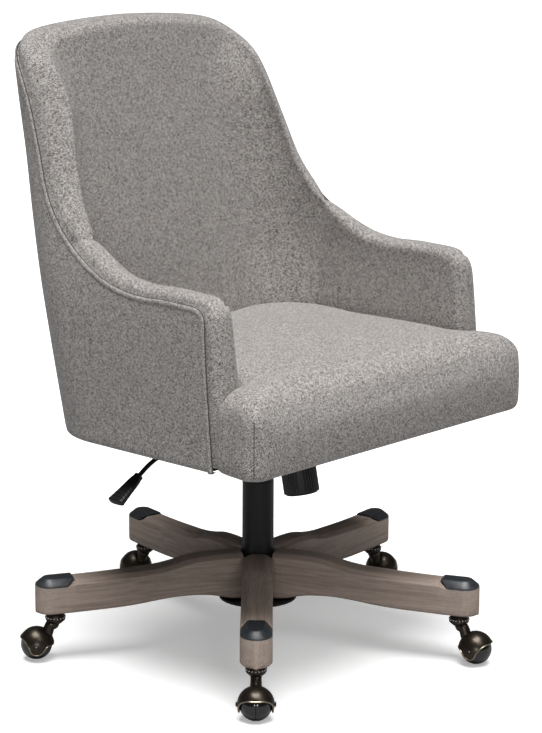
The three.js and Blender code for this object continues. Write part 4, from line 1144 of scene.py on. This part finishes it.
def loop_tube(path, radius, sides=8):
    n = len(path) - 1
    verts = []
    for i in range(n):
        tangent = path[(i + 1) % n] - path[i - 1]
        tangent = tangent / np.linalg.norm(tangent)
        out = path[i] - np.array([TRAIL, 0, BALL_R])
        out = out - tangent * out.dot(tangent)
        out /= np.linalg.norm(out)
        other = np.cross(tangent, out)
        for k in range(sides):
            a = 2 * math.pi * k / sides
            verts.append(path[i] + (out * math.cos(a) + other * math.sin(a)) * radius)
    faces = [(i * sides + k, i * sides + (k + 1) % sides, ((i + 1) % n) * sides + (k + 1) % sides,
              ((i + 1) % n) * sides + k)
             for i in range(n) for k in range(sides)]
    return np.array(verts), faces


def caster_frame(i, shape):
    verts = turned_about(shape[0], math.radians(CASTER_TURNS[i]), (STEM_REACH, 0, 0))
    return turned_about(verts, LEG_ANGLES[i]), shape[1]


def build_casters():
    top, h = RACE_TOP, BALL_R
    cowl = cowl_shape()
    dish = rounded_profile([(0.1, top - 17), (9, top - 17), (15, top - 11.5), (16, top - 8.5),
                            (14.2, top - 7), (15, top - 5.5), (13, top - 1), (10, top), (0.1, top)], 1.2)
    neck_path = catmull([(1, 0, top - 12), (3, 0, top - 19), (8, 0, h + 30), (TRAIL - 17, 0, h + 17)], 10)
    flare = 1.6 * np.linspace(0, 1, len(neck_path)) ** 3
    neck = sweep(neck_path, np.linspace(8.6, 7.4, len(neck_path)) + flare, 20)
    casting = merged(cowl, lathe(dish, 40), neck)
    rim = loop_tube(rim_path(COWL_R - 0.2), 1.25)
    edge = math.acos(3.0 / BALL_R)
    halves = [(BALL_R * math.cos(a), BALL_R * math.sin(a)) for a in np.linspace(-edge, -0.035, 20)]
    groove = [(BALL_R - 0.2, -0.5), (BALL_R - 0.9, 0), (BALL_R - 0.2, 0.5)]
    ball = on_side(lathe(halves + groove + [(r, -z) for r, z in halves[::-1]], 72), (TRAIL, 0, h))
    cheek = COWL_R + 0.3
    head = rounded_profile([(0.1, cheek + 2.0), (3.0, cheek + 1.7), (4.5, cheek), (2.6, cheek), (2.6, 0)],
                           0.6)
    rivet = lathe(head + [(r, -z) for r, z in head[::-1]], 32)
    axle = on_side(rivet, (TRAIL, 0, h))
    for i, leg in enumerate(LEGS):
        swivel, roll = "caster_swivel_" + leg, "caster_ball_" + leg
        rigid("caster_cowl_" + leg, caster_frame(i, casting), swivel, BRONZE,
              ["caster_hood_" + leg])
        rigid("caster_rim_" + leg, caster_frame(i, rim), swivel, BRIGHT_RIM)
        rigid("caster_wheel_" + leg, caster_frame(i, ball), roll, BALL, ["caster_ball_" + leg])
        rigid("caster_rivets_" + leg, caster_frame(i, axle), swivel, BRONZE, ["caster_axle_" + leg])


# ---------------------------------------------------------------- lever
def build_lever():
    z, bend, droop = 342.0, -228.0, math.radians(32)  # the bar's height, where it bends, and how steeply
    handle_length = 60
    down = np.array([-math.cos(droop), 0, -math.sin(droop)])
    corner = np.array([bend, 0, z])
    path = catmull([(12, 0, z), (-60, 0, z), (bend + 22, 0, z), corner + (3, 0, -2), corner + down * 20,
                    corner + down * 46], 12)
    rigid("lever_bar", sweep(path, [3.5] * len(path), 20), "lever", BLACK_STEEL, ["lever_rod"])
    start = corner + down * 40
    up = np.array([-down[2], 0, down[0]])
    up = up if up[2] > 0 else -up
    rings, steps, sides = [], 72, 40
    for i in range(steps + 1):
        t = i / steps
        end = 1 - 0.9 * max(0.0, (t - 0.93) / 0.07) ** 3
        collar = 0.72 + 0.28 * (1 - math.exp(-max(t - 0.08, 0) / 0.09)) if t > 0.08 else 0.72
        wide = (17 + 14 * t**0.9) / 2 * end * collar
        thick = (12.5 - 3.0 * math.sin(math.pi * t)) / 2 * end * (0.85 + 0.15 * collar)
        groove = 0.9 * max(0.0, math.cos((t - 0.3) * 9 * 2 * math.pi)) ** 2 if 0.28 < t < 0.92 else 0.0
        ring = []
        for k in range(sides):
            a = 2 * math.pi * k / sides
            c, s = math.cos(a), math.sin(a)
            y = wide * math.copysign(abs(c) ** 0.55, c)
            h = thick * math.copysign(abs(s) ** 0.55, s) - math.copysign(groove * abs(s) ** 2, s)
            ring.append(start + down * (t * handle_length) + np.array([0, y, 0]) + up * h)
        rings.append(ring)
    handle = np.array([v for ring in rings for v in ring]), loft_faces(rings)
    rigid("lever_handle", handle, "lever", BLACK_PLASTIC, ["lever_paddle"])


# ---------------------------------------------------------------- small parts that repeat
RING_INPUTS = [("Count", "Int", 12), ("Radius", "Float", 0.01), ("Size", "Float", 0.002),
               ("Length", "Float", 0.01),
               ("Unevenness", "Float", 0.0), ("Seed", "Int", 3), ("Place", "Vector", None),
               ("Lean", "Rotation", None), ("Finish", "Material", None)]


def ring_tool(name, kind):
    """Geometry nodes: copies of a small part round a ring. kind is ball, rib or bolt."""
    tree = bpy.data.node_groups.new(name, "GeometryNodeTree")
    for label, socket, value in RING_INPUTS:
        made = tree.interface.new_socket(label, in_out="INPUT", socket_type="NodeSocket" + socket)
        if value is not None:
            made.default_value = value
    tree.interface.new_socket("Geometry", in_out="OUTPUT", socket_type="NodeSocketGeometry")
    source, sink = tree.nodes.new("NodeGroupInput"), tree.nodes.new("NodeGroupOutput")

    def add(node, **settings):
        made = tree.nodes.new(node)
        for key, value in settings.items():
            setattr(made, key, value)
        return made

    def link(a, b):
        tree.links.new(a, b)

    ring = add("GeometryNodeMeshCircle", fill_type="NONE")
    link(source.outputs["Count"], ring.inputs["Vertices"])
    link(source.outputs["Radius"], ring.inputs["Radius"])
    if kind == "ball":
        item = add("GeometryNodeMeshUVSphere")
        item.inputs["Segments"].default_value, item.inputs["Rings"].default_value = 20, 12
        link(source.outputs["Size"], item.inputs["Radius"])
    else:
        item = add("GeometryNodeMeshCylinder")
        item.inputs["Vertices"].default_value = 6 if kind == "bolt" else 12
        link(source.outputs["Size"], item.inputs["Radius"])
        link(source.outputs["Length"], item.inputs["Depth"])
    copies = add("GeometryNodeInstanceOnPoints")
    link(ring.outputs["Mesh"], copies.inputs["Points"])
    link(item.outputs["Mesh"], copies.inputs["Instance"])
    turn = add("FunctionNodeRandomValue", data_type="FLOAT")
    link(source.outputs["Seed"], turn.inputs["Seed"])
    low = add("ShaderNodeMath", operation="MULTIPLY")
    link(source.outputs["Unevenness"], low.inputs[0])
    low.inputs[1].default_value = -1.0
    floats = [socket for socket in turn.inputs if socket.type == "VALUE"]
    link(low.outputs[0], floats[0])
    link(source.outputs["Unevenness"], floats[1])
    about = add("ShaderNodeCombineXYZ")
    link(next(socket for socket in turn.outputs if socket.type == "VALUE"), about.inputs["Z"])
    spin = add("FunctionNodeEulerToRotation")
    link(about.outputs[0], spin.inputs[0])
    link(spin.outputs[0], copies.inputs["Rotation"])
    realize = add("GeometryNodeRealizeInstances")
    link(copies.outputs["Instances"], realize.inputs["Geometry"])
    move = add("GeometryNodeTransform")
    link(realize.outputs["Geometry"], move.inputs["Geometry"])
    link(source.outputs["Place"], move.inputs["Translation"])
    link(source.outputs["Lean"], move.inputs["Rotation"])
    shade = add("GeometryNodeSetShadeSmooth")
    shade.inputs["Shade Smooth"].default_value = kind == "ball"
    link(move.outputs["Geometry"], shade.inputs["Geometry"])
    finish = add("GeometryNodeSetMaterial")
    link(shade.outputs["Geometry"], finish.inputs["Geometry"])
    link(source.outputs["Finish"], finish.inputs["Material"])
    link(finish.outputs["Geometry"], sink.inputs["Geometry"])
    return tree


def repeated(name, tree, values, body, material):
    """One mesh from a tool that repeats a part."""
    holder = bpy.data.objects.new(name, bpy.data.meshes.new(name))
    bpy.context.scene.collection.objects.link(holder)
    modifier = holder.modifiers.new("parts", "NODES")
    modifier.node_group = tree
    sockets = {item.name: item.identifier for item in tree.interface.items_tree if item.in_out == "INPUT"}
    for label, value in {**values, "Finish": material}.items():
        modifier[sockets[label]] = value
    holder.update_tag()
    apply_modifiers(holder)
    outward(holder)
    finish_piece(holder, body, material)


TILT = 12  # degrees that the knob's axis leans from upright
KNOB_FOOT = np.array([0, -93.0, 257.0])
RACE_MIDDLE, BOLT_LEVEL = 68.1, 69.4


def build_small_parts():
    balls, ribs = ring_tool("ring of bearing balls", "ball"), ring_tool("ring of grip ribs", "rib")
    bolts = ring_tool("ring of bolts", "bolt")
    for i, leg in enumerate(LEGS):
        at = place(turned_about([(STEM_REACH, 0, RACE_MIDDLE)], LEG_ANGLES[i]))[0]
        values = {"Count": 18, "Radius": 0.0148, "Size": 0.0016, "Length": 0.001, "Seed": 5 + i,
                  "Place": tuple(at), "Lean": (0.0, 0.0, 0.0)}
        repeated("bearing_balls_" + leg, balls, values, "caster_swivel_" + leg, BRIGHT_STEEL)
    lean = math.radians(-TILT)
    axis = np.array([0, math.sin(math.radians(TILT)), math.cos(math.radians(TILT))])
    middle = place([KNOB_FOOT + axis * 22.5])[0]
    values = {"Count": 40, "Radius": 0.0267, "Size": 0.00125, "Length": 0.039, "Unevenness": 0.0, "Seed": 2,
              "Place": tuple(middle), "Lean": (lean, 0.0, 0.0)}
    repeated("knob_ribs", ribs, values, "knob", BLACK_PLASTIC)
    outline = [(0.1, 0.4), (24, 0), (26.4, 2.5), (26.9, 6), (26.4, 43), (25.0, 45), (21, 44.6), (0.1, 44.4)]
    profile = rounded_profile(outline, 1.4)
    verts, faces = lathe(profile, 72)
    c, s = math.cos(lean), math.sin(lean)
    verts = np.stack([verts[:, 0], verts[:, 1] * c - verts[:, 2] * s, verts[:, 1] * s + verts[:, 2] * c],
                     axis=1) + KNOB_FOOT
    rigid("knob_grip", (verts, faces), "knob", BLACK_PLASTIC, ["tension_knob"])
    at = place([(0, 0, BOLT_LEVEL)])[0]
    values = {"Count": 5, "Radius": 0.047, "Size": 0.0052, "Length": 0.0034, "Unevenness": 0.5, "Seed": 9,
              "Place": tuple(at), "Lean": (0.0, 0.0, 0.628)}
    repeated("hub_bolts", bolts, values, "base", BLACK_STEEL)


# ---------------------------------------------------------------- making the pieces
build_outer_panel()
build_piping()
build_padding()
build_seat()
build_legs()
build_casters()
build_lever()
build_small_parts()

FINISHES = {
    "upholstery": FABRIC, "welt": PIPING, "plywood": PLYWOOD, "dust_cloth": DUST_CLOTH,
    "black_steel": BLACK_STEEL, "bright_steel": BRIGHT_STEEL, "spring_steel": SPRING_STEEL,
    "black_plastic": BLACK_PLASTIC, "cap_plastic": CAP_PLASTIC, "bronze": BRONZE, "ball_black": BALL,
}
for part in frame["record"]["subparts"]:
    node = nodes[part["node"]]
    slot_name = part["material_slot"]
    material = WOOD[part["node"][4:]] if slot_name == "grey_wood" else FINISHES[slot_name]
    node.data.materials.clear()
    node.data.materials.append(material)

# ---------------------------------------------------------------- floor, light and camera
FILL, BOUNCE = 0.07, 0.33  # light from all round, and how much of the light on the floor comes back up


def stage_floor():
    mesh = bpy.data.meshes.new("studio_floor")
    s = 14.0
    mesh.from_pydata([(-s, -s, 0), (s, -s, 0), (s, s, 0), (-s, s, 0)], [], [(0, 1, 2, 3)])
    floor = bpy.data.objects.new("studio_floor", mesh)
    bpy.context.scene.collection.objects.link(floor)
    floor.location.z = -0.0005
    material, w, shader, _ = new_material("white floor")
    shader.inputs["Base Color"].default_value = (0.93, 0.93, 0.93, 1)
    shader.inputs["Roughness"].default_value = 0.9
    shader.inputs["Emission Color"].default_value = (1, 1, 1, 1)
    shader.inputs["Emission Strength"].default_value = 0.34
    dim = w.add("BsdfDiffuse")
    dim.inputs["Color"].default_value = (BOUNCE, BOUNCE, BOUNCE, 1)
    choose = w.add("MixShader")
    w.join(w.add("LightPath").outputs["Is Camera Ray"], choose.inputs[0])
    w.join(dim.outputs[0], choose.inputs[1])
    w.join(shader.outputs[0], choose.inputs[2])
    w.join(choose.outputs[0], next(n for n in w.tree.nodes if n.type == "OUTPUT_MATERIAL").inputs["Surface"])
    floor.data.materials.append(material)


def area_light(name, location, target, size, power):
    light = bpy.data.lights.new(name, "AREA")
    light.shape = "RECTANGLE"
    light.size, light.size_y = size
    light.energy = power
    lamp = bpy.data.objects.new(name, light)
    lamp.location = location
    lamp.rotation_euler = (Vector(target) - Vector(location)).to_track_quat("-Z", "Y").to_euler()
    bpy.context.scene.collection.objects.link(lamp)


def studio():
    stage_floor()
    world = bpy.data.worlds.new("studio")
    world.use_nodes = True
    w = Wires(world.node_tree)
    fill = world.node_tree.nodes["Background"]
    fill.inputs[0].default_value = (1.0, 1.0, 1.0, 1)
    fill.inputs[1].default_value = FILL
    backdrop = w.add("Background")
    backdrop.inputs[1].default_value = 1.0
    choose = w.add("MixShader")
    w.join(w.add("LightPath").outputs["Is Camera Ray"], choose.inputs[0])
    w.join(fill.outputs[0], choose.inputs[1])
    w.join(backdrop.outputs[0], choose.inputs[2])
    w.join(choose.outputs[0], world.node_tree.nodes["World Output"].inputs["Surface"])
    bpy.context.scene.world = world
    area_light("key", (-0.6, -2.4, 3.0), (0, 0, 0.6), (1.8, 1.8), 26)
    area_light("low", (-2.3, -2.3, 0.7), (0, 0, 0.10), (1.2, 0.5), 18)
    overhead = bpy.data.lights.new("overhead", "SUN")
    overhead.energy = 4.3
    overhead.angle = math.radians(38)
    lamp = bpy.data.objects.new("overhead", overhead)
    lamp.rotation_euler = Vector((0.12, 0.10, -1)).to_track_quat("-Z", "Y").to_euler()
    bpy.context.scene.collection.objects.link(lamp)
    bpy.context.scene.view_settings.view_transform = "Standard"


FRAME_WIDE, FRAME_TALL, SENSOR, LENS = 542, 733, 36.0, 113.6
CAMERA_AT, CAMERA_ROLL = [-2587.7, -2389.4, 1248.7], 0.0054
CAMERA_FORWARD, CAMERA_RIGHT = Vector((0.7195, 0.6573, -0.2225)), Vector((0.6743, -0.7385, 0.0))


def camera():
    data = bpy.data.cameras.new("main_view")
    data.sensor_fit = "VERTICAL"
    data.sensor_height = SENSOR
    data.sensor_width = SENSOR * FRAME_WIDE / FRAME_TALL
    data.lens = LENS
    data.clip_end = 60
    view = bpy.data.objects.new("main_view", data)
    forward, right = CAMERA_FORWARD.normalized(), CAMERA_RIGHT.normalized()
    up = right.cross(forward)
    c, s = math.cos(CAMERA_ROLL), math.sin(CAMERA_ROLL)
    right, up = right * c + up * s, up * c - right * s
    turn = Matrix((right, up, -forward)).transposed().to_4x4()
    view.matrix_world = Matrix.Translation(Vector(place(CAMERA_AT))) @ turn
    bpy.context.scene.collection.objects.link(view)
    bpy.context.scene.camera = view


studio()
camera()
